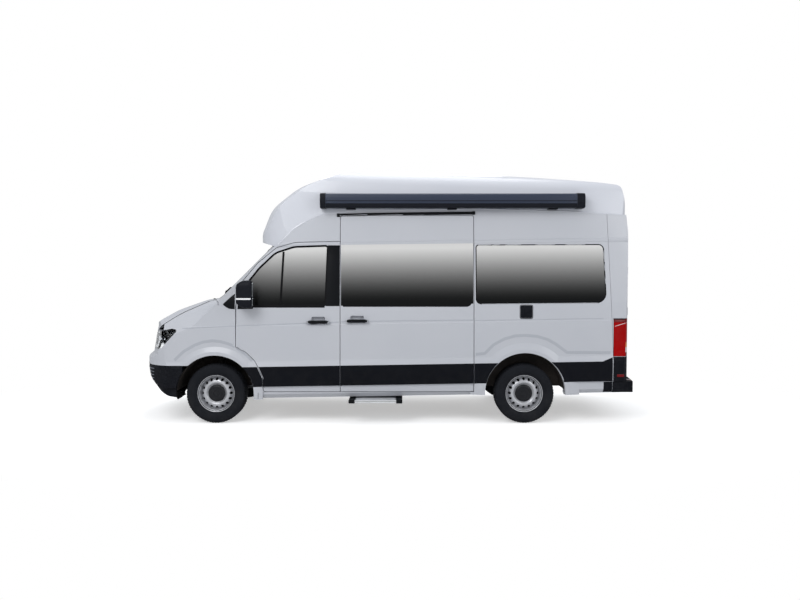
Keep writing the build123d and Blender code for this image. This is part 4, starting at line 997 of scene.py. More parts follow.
@dataclass
class Wheel:
    """One road wheel with its tyre: a pressed steel rim with round vents and a dark cap over the hub."""

    axle: str
    side: Side
    x: float
    pitches: int = 66
    vents: int = 16
    vent_circle: float = 0.168
    vent_radius: float = 0.0178
    vent_inner: float = 0.1465
    vent_outer: float = 0.1885
    tread_depth: float = 0.007
    disc_knots: tuple[Pair, ...] = ((190, 10), (186, 14), (180, 22), (172, 33.5), (164, 43.5), (157, 50),
                                    (150, 54.5),
                                    (143, 57), (134, 57.8), (126, 56), (119, 51), (112, 45), (106, 41.5),
                                    (96, 41))
    sidewall: tuple[Pair, ...] = ((204.2, 78), (210, 80.2), (217, 82), (220, 85.2), (225, 87.5), (230, 88.4),
                                  (240, 95), (252, 102), (256, 104.6), (262, 106.4), (274, 109.4),
                                  (288, 111.6),
                                  (303, 112.3), (306, 112.4), (309, 111.2), (320, 109.4), (330, 105.4),
                                  (338, 100), (343.5, 94), (347, 88), (349.4, 82))
    tread: tuple[Pair, ...] = ((350, 76), (350, 51), (342.5, 49.5), (342.5, 43), (350, 41.5), (350, 5.5),
                               (342.5, 4), (342.5, 0))
    rim_loop: tuple[Pair, ...] = ((217, 79.3), (219.6, 80.4), (220, 83), (218, 84.6), (214.6, 84),
                                  (211.5, 80.6),
                                  (207.5, 76.8), (201, 74.6), (197, 67), (194.5, 54), (190.5, 42),
                                  (189.3, 12),
                                  (189.3, -58), (196, -71), (205, -78), (214, -84), (219, -83), (218, -79.3),
                                  (209, -76.5), (203, -70), (203, 70), (209, 76.4))
    cap_profile: tuple[Pair, ...] = ((101, 40), (101, 48), (99.4, 52.5), (95, 57.5), (88, 62), (80, 64.4),
                                     (70, 65.2), (68, 63.6), (66, 63.4), (64, 65.4), (46, 66.6), (38, 66.8),
                                     (36, 64.6), (33, 64.4), (31, 66.6), (16, 67.4), (14.6, 66.4),
                                     (0.5, 66.4))

    @property
    def body(self) -> str:
        """The body the wheel belongs to."""
        return f"wheel_{self.axle}_{self.side.word}"

    def place(self, radius: float, angle: float, out: float) -> Triple:
        """The point of a radius, an angle and a distance outboard of the tyre's middle."""
        return (self.x + radius * cos(angle), self.side.value * (TRACK_HALF + out),
                AXLE_Z + radius * sin(angle))

    def disc_height(self, radius: float) -> float:
        """How far outboard the pressed disc stands at a radius."""
        knots = [(a * MM, b * MM) for a, b in self.disc_knots]
        for (r0, h0), (r1, h1) in zip(knots, knots[1:]):
            if r1 <= radius <= r0:
                return mix(h0, h1, (r0 - radius) / (r0 - r1))
        return knots[-1][1] if radius < knots[-1][0] else knots[0][1]

    def build_tyre(self) -> None:
        """The tyre: ribbed sidewalls and a tread cut by three grooves and by sipes."""
        half = [(r * MM, h * MM) for r, h in self.sidewall + self.tread]
        profile = half + [(r, -h) for r, h in reversed(half[:-1])]
        count = self.pitches * 4

        def tyre_point(radius: float, angle: float, out: float) -> Triple:
            """A tyre point, sunk where a sipe crosses the tread."""
            phase = round(angle / (2 * pi) * count) % 4
            shoulder = abs(out) > 0.051 and radius > 0.3465
            rib = 0.0055 < abs(out) < 0.0415 and radius > 0.349
            if (phase == 3 and shoulder) or (phase == (1 if out > 0 else 2) and rib):
                radius -= self.tread_depth
            elif phase == 3 and 0.33 < radius < 0.347 and abs(out) > 0.09:
                radius -= self.tread_depth * 0.4
            return self.place(radius, angle, out)

        shape = Shape().turned(profile, tyre_point, count, loop=True)
        tyre = shape.piece(f"tyre_{self.axle}_{self.side.word}_tread", self.body, TYRE_RUBBER, 40)
        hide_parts(f"tyre_{self.axle}_{self.side.word}")

    def vent_patch(self, shape: Shape, middle: float, half_angle: float, per_side: int = 6) -> None:
        """One sector of the disc with its round vent.

        Args:
            shape: the shape that takes the sector.
            middle: the sector's middle angle.
            half_angle: half the sector's angle.
            per_side: points along each side of the sector.
        """
        steps = [mix(-1, 1, k / per_side) for k in range(per_side)]
        back = [mix(1, -1, k / per_side) for k in range(per_side)]
        border = [(u, -1.0) for u in steps] + [(1.0, v) for v in steps]
        border += [(u, 1.0) for u in back] + [(-1.0, v) for v in back]
        rings = []
        for share, sink in ((-0.16, 0.007), (-0.10, 0.0018), (0.0, 0.0), (0.12, -0.0002), (0.4, 0.0),
                            (0.72, 0.0), (1.0, 0.0)):
            ring = []
            for u, v in border:
                turn = atan2(v, u)
                edge_r = self.vent_outer if v > 0 else self.vent_inner
                far_r = self.vent_circle + abs(v) * (edge_r - self.vent_circle)
                far_a = middle + u * half_angle
                near_r = self.vent_circle + self.vent_radius * sin(turn)
                near_a = middle + self.vent_radius * cos(turn) / self.vent_circle
                if share < 0:
                    shrink = 1 + share
                    near_r = self.vent_circle + self.vent_radius * shrink * sin(turn)
                    near_a = middle + self.vent_radius * shrink * cos(turn) / self.vent_circle
                radius = mix(near_r, far_r, max(share, 0.0))
                angle = mix(near_a, far_a, max(share, 0.0))
                ring.append(self.place(radius, angle, self.disc_height(radius) - sink))
            rings.append(ring)
        shape.loft(rings, caps=False)

    def build_rim(self) -> None:
        """The rim: a rolled barrel, a pressed disc with vents, and a dark cap."""
        word = f"wheel_{self.axle}_{self.side.word}"
        loop = [(r * MM, h * MM) for r, h in self.rim_loop]
        barrel = Shape().turned(loop, self.place, 96, loop=True).piece(f"{word}_rim", self.body, RIM_SILVER,
                                                                       40)
        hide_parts(word)
        disc = Shape()
        half_angle = pi / self.vents
        for k in range(self.vents):
            self.vent_patch(disc, 2 * half_angle * k, half_angle)
        points = self.vents * 6
        radii = [self.vent_inner, 0.143, 0.1385, 0.134, 0.130, 0.126, 0.1225, 0.119, 0.1155, 0.112, 0.109,
                 0.106, 0.096]
        for group in ([self.vent_outer, 0.1896], radii):
            rings = [[self.place(r, -half_angle + 2 * pi * k / points, self.disc_height(r))
                      for k in range(points)]
                     for r in group]
            disc.loft(rings, caps=False)
        pressed = disc.piece(f"{word}_disc", self.body, RIM_SILVER, 50)
        thickened(pressed, 0.0035)
        cap_rings = [(r * MM, h * MM) for r, h in self.cap_profile]
        Shape().turned(cap_rings, self.place, 64, caps=True).piece(f"{word}_cap", self.body, CAP_PLASTIC, 30)
        valve = [self.place(r, 0.9, h) for r, h in ((0.187, 0.060), (0.185, 0.074), (0.182, 0.081))]
        Shape().tube(valve, 0.0035, 8).piece(f"{word}_valve", self.body, BLACK_RUBBER)

    def build_shield(self) -> None:
        """The brake's splash shield behind the disc, which doesn't turn with the wheel."""
        profile = [(r * MM, h * MM) for r,
                   h in ((60, -52), (60, -49), (120, -47), (160, -44), (180, -37), (184, -28),
                         (186, -28), (183, -39), (162, -47), (120, -50))]
        carrier = f"knuckle_{self.side.word}" if self.axle == "front" else "chassis"
        Shape().turned(profile, self.place, 64,
                       loop=True).piece(f"brake_shield_{self.axle}_{self.side.word}", carrier,
                                        CHASSIS_BLACK, 40)

    def build(self) -> None:
        """Build the wheel."""
        self.build_tyre()
        self.build_rim()
        self.build_shield()
        log.info("wheel %s %s", self.axle, self.side.word)


# Body side


CAB_DOOR_FRONT_EDGE: list[Row] = [(563, 378, 0), (563, 545, 90), (480, 738, 300), (360, 850, 60),
                                  (246, 905, 0)]
CAB_GLASS_ROWS: list[Row] = [(330, 1392, 20), (330, 1590, 60), (520, 1828, 400), (712, 2010, 220),
                             (930, 2080, 300), (1325, 2093, 25), (1298, 1392, 25)]
SLIDE_GLASS_ROWS: list[Row] = [(1499, 1384, 20), (1499, 2080, 20), (3012, 2080, 30), (3012, 1384, 60)]
QUARTER_GLASS_ROWS: list[Row] = [(3066, 1412, 60), (3066, 2102, 30), (4560, 2108, 60), (4590, 1427, 110)]
KITCHEN_GLASS_ROWS: list[Row] = [(1700, 1384, 60), (1700, 2080, 60), (2860, 2080, 60), (2860, 1384, 60)]
SEAM_ROWS: list[Row] = [(500, 2142, 0), (712, 2082, 25), (950, 2322, 300), (1240, 2462, 300),
                        (1640, 2506, 900), (3056, 2532, 1500), (4280, 2494, 1500), (4770, 2459, 0)]


# Strips of painted crease shade: name, body, and the path's points as distance and height in millimetres
PAINTED_SHADE_LINES: tuple[tuple[str, str, tuple[Pair, ...]], ...] = (
    ("belt_crease_shade_wing", "chassis", ((-380, 1125), (0, 1143), (241, 1154))),
    ("belt_crease_shade_door", "door", ((255, 1155), (700, 1172), (1100, 1186), (1459, 1199))),
    ("belt_crease_shade_slide", "slide", ((1484, 1204), (2250, 1216), (3026, 1224))),
    ("front_flare_crease_shade", "chassis",
     ((-470, 752), (-361, 856), (-236, 928), (-132, 966), (-28, 981), (77, 970), (181, 939), (240, 910))),
    ("door_flare_crease_shade", "door", ((258, 900), (285, 877), (389, 805), (440, 745))),
    ("rear_flare_crease_shade", "chassis",
     ((3060, 822), (3167, 833), (3269, 934), (3395, 1003), (3521, 1038), (3648, 1045),
      (3774, 1034), (3901, 997), (4002, 940), (4078, 883), (4129, 845), (4640, 843))))


@dataclass
class BodySide:
    """The trim on one side of the body: lower mouldings, window seals, pillar panels, rails and handles."""

    side: Side
    band_low: float = 431.0
    band_high: float = 667.0
    front_arch: tuple[float, float, float] = (0.0, 350.0, 461.5)
    rear_arch: tuple[float, float, float] = (3640.0, 368.0, 471.5)
    shutline: float = 1471.0
    slide_rear: float = 3040.0
    tail: float = 4672.0
    gap: float = 4.0
    # The panels at the foot of the windscreen pillar and under the mirror: distance, lower and upper edge
    foot_columns: tuple[tuple[int, int, int], ...] = (
        (100, 1402, 1412), (130, 1376, 1440), (165, 1357, 1472), (200, 1352, 1504), (238, 1350, 1530))
    sail_columns: tuple[tuple[int, int, int], ...] = (
        (251, 1350, 1556), (270, 1350, 1552), (310, 1351, 1500), (350, 1352, 1450), (400, 1353, 1400),
        (450, 1354, 1382))
    skin: Skin = field(init=False)

    def __post_init__(self) -> None:
        """Gather the surfaces that the trim is laid on."""
        names = ["front_wings", "screen_frame", "roof", "rear_frame", "side_windows", "rear_bumper",
                 "front_bumper"]
        names += [f"side_{self.side.word}", f"cab_door_{self.side.word}", f"cab_glass_{self.side.word}"]
        if self.side is Side.LEFT:
            names.append("sliding_door")
        self.skin = Skin(*names)

    @property
    def door(self) -> str:
        """The cab door's body on this side."""
        return f"cab_door_{self.side.word}"

    def lay_lines(self, name: str, lines: Sequence[Sequence[Pair]], lifts: Sequence[float], body: str,
                  finish: Finish, sharp: float = 32.0) -> bpy.types.Object:
        """Lay a patch from lines of (distance, height) in millimetres."""
        laid = [[Vector((at(a), b * MM)) for a, b in line] for line in lines]
        return self.skin.lay(f"{name}_{self.side.word}", Fall.ACROSS, self.side, laid, lifts, body, finish,
                             sharp=sharp)

    def ribbon(self, name: str, rows: Sequence[Row], width: float, lift: float, body: str, finish: Finish,
               closed: bool = True, step: float = 0.05) -> bpy.types.Object:
        """Lay a seal or moulding along corner rows."""
        path = spaced(rounded_path(rows, closed), step, closed)
        return self.skin.ribbon(f"{name}_{self.side.word}", Fall.ACROSS, self.side, path, width, lift, body,
                                finish, closed)

    def door_edge(self, height: float) -> float:
        """The distance of the cab door's front edge at a height."""
        path = rounded_path(CAB_DOOR_FRONT_EDGE, closed=False)
        for low, high in zip(path, path[1:]):
            if low.y <= height * MM <= high.y and high.y > low.y:
                return (mix(low.x, high.x, (height * MM - low.y) / (high.y - low.y)) - FRONT_AXLE) / MM
        return 563.0

    @staticmethod
    def arch_edge(arch: tuple[float, float, float], height: float, way: int) -> float:
        """The distance at which an arch's rim crosses a height, ahead of (-1) or behind (1) the axle."""
        distance, middle, radius = arch
        return distance + way * (max(radius ** 2 - (height - middle) ** 2, 0.0)) ** 0.5

    def build_band(self) -> None:
        """The dark moulding along the lower side, broken at the doors and arches."""
        heights = [(0.0, -0.003), (0.0, 0.0008)] + [(mix(0.03, 0.97, k / 9), 0.0026) for k in range(10)]
        heights += [(1.0, 0.0008), (1.0, -0.003)]
        gap = self.gap

        def front_arch(height: float) -> float:
            """The band's front end on the wing."""
            return self.arch_edge(self.front_arch, height, 1)

        parts: list[tuple[str, str, Callable[[float], float], Callable[[float], float]]] = [
            ("band_wing", "chassis", front_arch, lambda z: self.door_edge(z) - gap),
            ("band_cab_door", self.door, lambda z: self.door_edge(z) + gap, lambda z: self.shutline - gap),
            ("band_rear_quarter", "chassis", lambda z: self.slide_rear + gap,
             lambda z: self.arch_edge(self.rear_arch, z, -1)),
            ("band_tail", "chassis", lambda z: self.arch_edge(self.rear_arch, z, 1), lambda z: self.tail)]
        middle = "band_sliding_door" if self.side is Side.LEFT else "band_middle"
        parts.append((middle, "chassis", lambda z: self.shutline + gap, lambda z: self.slide_rear - gap))
        for name, body, start, end in parts:
            lines = []
            count = max(26, round((end(self.band_high) - start(self.band_high)) / 9))
            for share, _ in heights:
                base = mix(self.band_low, self.band_high, share)
                guess = base + RAKE * (start(base) + end(base)) / 2
                first, last = start(guess), end(guess)
                line = []
                for k in range(count):
                    a = mix(first, last, k / (count - 1))
                    rise = max(0.0, (a - 4545) / 120) * 46 * share if name == "band_tail" else 0.0
                    line.append((a, base + RAKE * a + rise))
                lines.append(line)
            self.lay_lines(name, lines, [lift for _, lift in heights], body, DARK_PLASTIC)
        skirt = [[(a, mix(372, 512, share)) for a in (4566, 4580, 4600, 4620, 4640, 4656, 4668)]
                 for share, _ in heights]
        self.lay_lines("band_corner", skirt, [min(lift, 0.002) for _, lift in heights], "chassis",
                       DARK_PLASTIC)

    def build_windows(self) -> None:
        """Seals round the panes, the black pillar panel, the quarter-light bar and the mirror foot panel."""
        self.ribbon("cab_window_seal", CAB_GLASS_ROWS, 0.022, 0.0016, self.door, BLACK_RUBBER)
        self.ribbon("quarter_window_seal", QUARTER_GLASS_ROWS, 0.012, 0.0008, "chassis", BLACK_RUBBER)
        rows = SLIDE_GLASS_ROWS if self.side is Side.LEFT else KITCHEN_GLASS_ROWS
        self.ribbon("living_window_seal", rows, 0.012, 0.0008, "chassis", BLACK_RUBBER)
        heights = even(1386, 2098, 12)
        lifts = raised(0.0008, 0.0022)

        def column(front_low: float, front_high: float, rear: float, top: float) -> list[list[Pair]]:
            """Upright lines between a slanted front edge and an upright rear edge."""
            shares = (0.0, 0.0, 0.03, 0.97, 1.0, 1.0)
            return [[(mix(mix(front_low, front_high, k / 12), rear, share), min(z, top))
                     for k, z in enumerate(heights)] for share in shares]

        self.lay_lines("pillar_panel", column(1300, 1328, self.shutline - gap_in(self), 2098), lifts,
                       self.door, BLACK_PLASTIC)
        bar = [Vector((at(d), z)) for d, z in straight((772, 1.396), (806, 2.022), 10)]
        self.skin.ribbon(f"quarter_light_bar_{self.side.word}", Fall.ACROSS, self.side, bar, 0.024, 0.004,
                         self.door, BLACK_RUBBER)
        shares = (0.0, 0.0, 0.04, 0.96, 1.0, 1.0)
        for name, body, columns in (("pillar_foot_panel", "chassis", self.foot_columns),
                                    ("mirror_foot_panel", self.door, self.sail_columns)):
            lines = [[(a, mix(low, high, share)) for a, low, high in columns] for share in shares]
            self.lay_lines(name, lines, lifts, body, BLACK_PLASTIC)
        sill = [[(a, z) for a in (450, 620, 800, 1000, 1150, 1290)]
                for z in (1368, 1368, 1372, 1384, 1388, 1388)]
        self.lay_lines("cab_window_sill", sill, lifts, self.door, BLACK_RUBBER)

    def build_lines(self) -> None:
        """The sealed seam under the roof moulding, and the sliding door's rails, the middle one a thin line
        of painted shade.
        """
        self.ribbon("roof_seam", SEAM_ROWS[1:], 0.014, 0.0022, "chassis", ROOF_SHELL, closed=False)
        if self.side is Side.LEFT:
            top = [(1436, 2453, 0), (1795, 2463, 0), (2163, 2469, 0), (2651, 2475, 0), (3052, 2479, 0)]
            self.ribbon("slide_top_rail", top, 0.034, 0.006, "chassis", BLACK_PLASTIC, closed=False)
            for name, distance, height in (("front", 1448, 2453), ("rear", 3040, 2479)):
                stop = [(distance - 17, height, 0), (distance + 17, height, 0)]
                self.ribbon(f"slide_top_stop_{name}", stop, 0.042, 0.009, "chassis", BLACK_PLASTIC,
                            closed=False, step=0.01)
            # The middle rail's slot is a thin line of painted shade
            rail = [(3052, 1170 + RAKE * 3052, 0), (4560, 1170 + RAKE * 4560, 0)]
            self.ribbon("slide_middle_rail_shade", rail, 0.009, 0.001, "chassis", PAINTED_CREASE_SHADE, closed=False)
            self.build_pane_edges()
        joint = [(510, 300, 0), (510, 372, 0)]
        self.ribbon("sill_joint", joint, 0.004, 0.0006, "chassis", BLACK_RUBBER, closed=False, step=0.02)

    def build_pane_edges(self) -> None:
        """A glass sheet over the sliding door's pane, which reaches the door's edges."""
        door = Skin("sliding_door")
        front, rear = self.shutline + 10, self.slide_rear - 8
        rows, columns = 18, 24
        inner = []
        for i in range(rows + 1):
            ends = []
            for a, top in ((front, 2104.0), (rear, 2122.0)):
                z = mix(1391 + RAKE * (a - front), top, i / rows) * MM
                hit = door.drop(Fall.ACROSS, self.side, at(mix(a, (front + rear) / 2, 0.004)), z, 0.0)
                ends.append(Vector((at(a), hit[1] if hit else self.side.value * 1.0, z)))
            inner.append(ends)
        out = Vector((0, self.side.value, 0))
        middle = (inner[0][0] + inner[-1][1]) / 2

        def ring(inset: float, lift: float) -> list[list[Triple]]:
            """The sheet's points, drawn in by inset and lifted off the door."""
            grid = []
            for ends in inner:
                line = []
                for k in range(columns + 1):
                    point = ends[0].lerp(ends[1], k / columns) + out * lift
                    point.x += inset * (1 if point.x < middle.x - 0.7 else -1 if point.x > middle.x + 0.7
                                        else 0)
                    line.append(tuple(point))
                grid.append(line)
            return grid

        face, back = ring(0.0, 0.0035), ring(0.0, -0.0015)
        shape = Shape().loft(face, closed=False, caps=False)
        rim = [back[0], face[0]]
        shape.loft(rim, closed=False, caps=False)
        shape.loft([face[-1], back[-1]], closed=False, caps=False)
        for column in (0, columns):
            shape.loft([[line[column] for line in face], [line[column] for line in back]], closed=False,
                       caps=False)
        shape.piece("slide_pane_sheet", "chassis", PRIVACY_GLASS, 40)

    def build_creases(self) -> None:
        """Painted shade along the pressed lines of the panels: strips of slightly darker paint on the belt
        line and on the edges of the flares over both arches.
        """
        for name, body, rows in PAINTED_SHADE_LINES:
            if body == "slide" and self.side is Side.RIGHT:
                continue
            self.ribbon(name, [(*row, 0) for row in rows], 0.034 if "flare" in name else 0.012, 0.0009,
                        self.door if body == "door" else "chassis", PAINTED_CREASE_SHADE, closed=False, step=0.03)

    def build_handle(self, name: str, distance: float, height: float, body: str) -> None:
        """A door handle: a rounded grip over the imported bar, with a lock barrel at its rear end.

        Args:
            name: the handle's name.
            distance: its middle, back from the front axle.
            height: its height.
            body: the door it rides on.
        """
        rings = []
        half = 0.1325
        for k in range(25):
            along = mix(-1, 1, k / 24)
            swell = max(0.05, (1 - abs(along) ** 7)) ** 0.5
            loop = rounded_box_loop(0.0215 * (0.55 + 0.45 * swell), 0.040 * (0.42 + 0.58 * swell),
                                    0.0082 * swell, 4)
            bow = 0.0025 * (1 - along ** 2)
            y = self.side.value * (0.999 + 0.0245 + bow)
            rings.append([(at(distance) + along * half, y + p.x, height * MM + p.y) for p in loop])
        grip = Shape().loft(rings).piece(f"{name}_{self.side.word}", body, BLACK_PLASTIC, 50)
        subdivided(grip, 1)
        barrel = [(0.0085, 0.0), (0.0085, 0.0035), (0.0070, 0.0048), (0.0005, 0.0048)]

        def place(radius: float, angle: float, out: float) -> Triple:
            """A point of the lock barrel."""
            return (at(distance + 104) + radius * cos(angle), self.side.value * (1.0345 + out),
                    height * MM + radius * sin(angle))

        Shape().turned(barrel, place, 24, caps=True).piece(f"{name}_lock_{self.side.word}", body,
                                                           CAP_PLASTIC)

    def build(self) -> None:
        """Build the side's trim."""
        self.build_band()
        self.build_windows()
        self.build_lines()
        self.build_creases()
        self.build_handle("cab_handle", 1216, 1201, self.door)
        if self.side is Side.LEFT:
            self.build_handle("slide_handle", 1671, 1213, "chassis")
        log.info("body side %s", self.side.word)


def gap_in(body_side: BodySide) -> float:
    """How far a door's trim stays inside its edge."""
    return body_side.gap + 1.5


@dataclass
class Mirror:
    """A door mirror: a tall rounded housing on an arm, with a lamp strip and two glasses."""

    side: Side
    x_front: float = at(290)
    x_rear: float = at(484)
    y_in: float = 1.054
    y_out: float = 1.212
    z_low: float = 1.374
    z_high: float = 1.689
    lamp_z: float = 1.478

    @property
    def body(self) -> str:
        """The door that carries the mirror."""
        return f"cab_door_{self.side.word}"

    def ring(self, z: float, grow: float = 0.0) -> list[Triple]:
        """The housing's outline at a height, rounder in front than behind."""
        span = self.z_high - self.z_low
        share = (z - self.z_low) / span
        top = max(0.0, (share - 0.72) / 0.28)
        low = max(0.0, (0.24 - share) / 0.24)
        pinch = 1 - 0.62 * top ** 3.2 - 0.55 * low ** 2.6
        half_x = (self.x_rear - self.x_front) / 2 * pinch + grow
        half_y = (self.y_out - self.y_in) / 2 * (0.30 + 0.70 * pinch) + grow
        middle_x = self.x_rear - (self.x_rear - self.x_front) / 2 * (0.42 + 0.58 * pinch)
        middle_y = (self.y_in + self.y_out) / 2
        points = []
        for k in range(40):
            angle = 2 * pi * k / 40
            power = 0.62 if cos(angle) < 0 else 0.34
            cx = abs(cos(angle)) ** power * (1 if cos(angle) > 0 else -1)
            sy = abs(sin(angle)) ** 0.5 * (1 if sin(angle) > 0 else -1)
            points.append((middle_x + half_x * cx, self.side.value * (middle_y + half_y * sy), z))
        return points

    def build(self) -> None:
        """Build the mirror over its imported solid."""
        heights = [self.z_low + (self.z_high - self.z_low) * s for s in
                   (0.0, 0.012, 0.035, 0.07, 0.12, 0.18, 0.26, 0.36, 0.48, 0.6, 0.7, 0.78, 0.85, 0.91, 0.955,
                    0.985, 1.0)]
        housing = Shape().loft([self.ring(z) for z in heights])
        piece = housing.piece(f"mirror_housing_{self.side.word}", self.body, ANTHRACITE_DARK, 60)
        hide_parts(f"mirror_{self.side.word}")
        subdivided(piece, 1)
        strip = Shape().loft([self.ring(self.lamp_z + dz, grow) for dz, grow in
                              ((-0.010, -0.003), (-0.009, 0.0004), (0.0, 0.0010), (0.009, 0.0004),
                               (0.010, -0.003))], caps=False)
        cut = [tuple(f) for f in strip.faces
               if all(strip.verts[i][0] < self.x_rear - 0.012 for i in f)]
        add_piece(f"mirror_lamp_{self.side.word}", strip.verts, cut, self.body, LAMP_GLOW, 50)
        s = self.side.value
        for name, low, high in (("main", 1.500, 1.664), ("wide", 1.398, 1.490)):
            glass = Shape()
            loops = []
            for inset, x in ((0.0, self.x_rear + 0.0002), (0.001, self.x_rear + 0.0032),
                             (0.006, self.x_rear + 0.0042)):
                width, height = 0.122 - 2 * inset, high - low - 2 * inset
                loops.append([(x, s * 1.133 + p.x, (low + high) / 2 + p.y)
                              for p in rounded_box_loop(width, height, 0.020 - inset)])
            glass.loft(loops)
            glass.piece(f"mirror_glass_{name}_{self.side.word}", self.body, MIRROR_GLASS, 40)
        arm_steps, arm_corner = 8, 0.015
        arm_rings = []
        for share in even(0.0, 1.0, arm_steps):
            x, y, z = at(mix(336, 342, share)), mix(1.068, 0.972, share), mix(1.407, 1.404, share)
            width, height = mix(0.066, 0.104, share ** 2), mix(0.036, 0.052, share ** 2)
            arm_rings.append([(x + p.x, s * y, z + p.y)
                              for p in rounded_box_loop(width, height, arm_corner, 4)])
        Shape().loft(arm_rings).piece(f"mirror_arm_{self.side.word}", self.body, BLACK_PLASTIC, 50)
        log.info("mirror %s", self.side.word)


@dataclass
class Awning:
    """The wind-out awning's closed cassette, with its end caps and front rail."""

    front: float = at(1247)
    rear: float = at(4319)
    profile: tuple[Pair, ...] = ((-872, 2531), (-900, 2530), (-985, 2530), (-1004, 2531), (-1018, 2535),
                                 (-1027, 2542),
                                 (-1032, 2552), (-1034, 2566), (-1034, 2578), (-1030.5, 2580),
                                 (-1030.5, 2584),
                                 (-1034.6, 2586), (-1035, 2600), (-1035, 2640), (-1034.4, 2656),
                                 (-1032, 2670),
                                 (-1027, 2682), (-1018, 2691), (-1006, 2696.5), (-990, 2698.6),
                                 (-960, 2699.4), (-930, 2699.6), (-900, 2699.6), (-872, 2699.6))

    def ring(self, x: float, grow: float = 0.0, fold: float = 1.0) -> list[Triple]:
        """The cassette's outline at a place along the van, drawn in towards its middle by fold."""
        middle_y, middle_z = -0.955, 2.615
        ring = []
        for y, z in self.profile:
            away = Vector((y * MM - middle_y, z * MM - middle_z))
            away = away * fold + away.normalized() * grow
            ring.append((x, max(middle_y + away.x, -1.0405), middle_z + away.y))
        return ring

    def build(self) -> None:
        """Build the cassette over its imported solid."""
        xs = even(self.front, self.rear, 12)
        cassette = Shape().loft([self.ring(x) for x in xs])
        piece = cassette.piece("awning_cassette", "chassis", ANTHRACITE, 24)
        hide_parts("awning")
        for name, near, far, way in (("front", at(1244), at(1309), 1), ("rear", at(4322), at(4228), -1)):
            rings = [self.ring(near, -0.006, 0.96), self.ring(near + way * 0.001, -0.001),
                     self.ring(near + way * 0.006, 0.004), self.ring(far - way * 0.003, 0.0045),
                     self.ring(far, 0.003), self.ring(far, -0.004)]
            Shape().loft(rings).piece(f"awning_cap_{name}", "chassis", ANTHRACITE_DARK, 24)
        lead = [(-1.0300, 2.5370), (-1.0352, 2.5460), (-1.0372, 2.5560), (-1.0372, 2.5760),
                (-1.0352, 2.5790), (-1.0150, 2.5790), (-0.9900, 2.5300), (-1.0150, 2.5310)]
        lip = [(-1.0352, 2.6050), (-1.0385, 2.6062), (-1.0392, 2.6090), (-1.0385, 2.6118), (-1.0352, 2.6130)]
        for name, section in (("lower", lead), ("lead", lip)):
            rail = Shape().loft([[(x, y, z) for y, z in section] for x in (at(1312), at(4225))])
            rail.piece(f"awning_{name}_rail", "chassis", ANTHRACITE_DARK, 24)
        for k, distance in enumerate((1600, 2783, 3960)):
            bracket = Shape().slab((at(distance - 55), -0.986, 2.516), (at(distance + 55), -0.890, 2.531))
            softened(bracket.piece(f"awning_bracket_{k + 1}", "chassis", ANTHRACITE_DARK), 0.003)
        log.info("awning")


@dataclass
class Headlamp:
    """One headlamp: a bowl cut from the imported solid, two reflectors, light strips and a clear cover."""

    side: Side
    bowls: tuple[tuple[float, float, float], ...] = ((0.655, 0.985, 0.058), (0.790, 0.985, 0.046))
    outward: Triple = (-0.72, 0.62, 0.30)
    cover_turn: float = 0.30

    def split(self) -> tuple[Shape, Shape]:
        """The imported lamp's outer faces, and its rim and back."""
        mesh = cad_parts["headlamps"].data
        way = Vector((self.outward[0], self.outward[1] * self.side.value, self.outward[2])).normalized()
        cover, bowl = Shape(), Shape()
        for polygon in mesh.polygons:
            if polygon.center.y * self.side.value < 0:
                continue
            target = cover if polygon.normal.dot(way) > self.cover_turn else bowl
            base = len(target.verts)
            target.verts += [tuple(mesh.vertices[i].co) for i in polygon.vertices]
            target.faces.append(tuple(range(base, base + len(polygon.vertices))))
        return cover, bowl

    def build(self) -> None:
        """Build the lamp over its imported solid."""
        word = self.side.word
        cover, bowl = self.split()
        lens = cover.piece(f"headlamp_cover_{word}", "chassis", LAMP_COVER, 30)
        thickened(lens, 0.003)
        if self.side is Side.LEFT:
            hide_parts("headlamps")
        tray = bowl.piece(f"headlamp_bowl_{word}", "chassis", BLACK_PLASTIC, 30)
        thickened(tray, 0.0025)
        skin = Skin("headlamps")
        s = self.side.value
        for k, (y, z, radius) in enumerate(self.bowls):
            front = skin.drop(Fall.BACK, self.side, s * y, z, 0.0)
            if front is None:
                continue
            x = front[0] + 0.020 + radius * 0.45
            profile = [(radius, 0.0), (radius * 0.99, 0.006), (radius * 0.86, 0.020), (radius * 0.62, 0.032),
                       (radius * 0.40, 0.038), (radius * 0.36, 0.030), (radius * 0.34, 0.010),
                       (radius * 0.26, 0.002), (radius * 0.12, -0.002), (0.0004, -0.003)]

            def place(r: float, angle: float, depth: float) -> Triple:
                """A point of the reflector, which opens to the front."""
                return (x + depth, s * y + r * cos(angle), z + r * sin(angle))

            Shape().turned(profile, place, 40).piece(f"headlamp_reflector_{k + 1}_{word}", "chassis", CHROME,
                                                     60)
            ring = [(radius * 1.03, 0.004), (radius * 1.10, -0.002), (radius * 1.03, -0.006),
                    (radius * 0.98, 0.0)]
            Shape().turned(ring, place, 40, loop=True).piece(f"headlamp_ring_{k + 1}_{word}", "chassis",
                                                              STEEL_TRIM, 60)
        strip = [Vector((s * mix(0.570, 0.845, share), mix(0.892, 0.902, share ** 2)))
                 for share in even(0.0, 1.0, 14)]
        strip += [Vector((s * y, z)) for y, z in straight((0.852, 0.912), (0.872, 1.020), 5)]
        self.inner_strip(skin, strip, "lower")
        brow = [Vector((s * y, z)) for y, z in straight((0.570, 1.052), (0.800, 1.058), 10)]
        self.inner_strip(skin, brow, "upper")
        log.info("headlamp %s", word)

    def inner_strip(self, skin: Skin, path: Sequence[Vector], name: str) -> None:
        """A white light strip just behind the cover."""
        offsets = [(-0.007, -0.016), (-0.006, -0.009), (0.0, -0.007), (0.006, -0.009), (0.007, -0.016)]
        lines = [beside(path, gap) for gap, _ in offsets]
        skin.lay(f"headlamp_strip_{name}_{self.side.word}", Fall.BACK, self.side, lines,
                 [lift for _, lift in offsets], "chassis", LAMP_GLOW, ends=0.016, sharp=60)


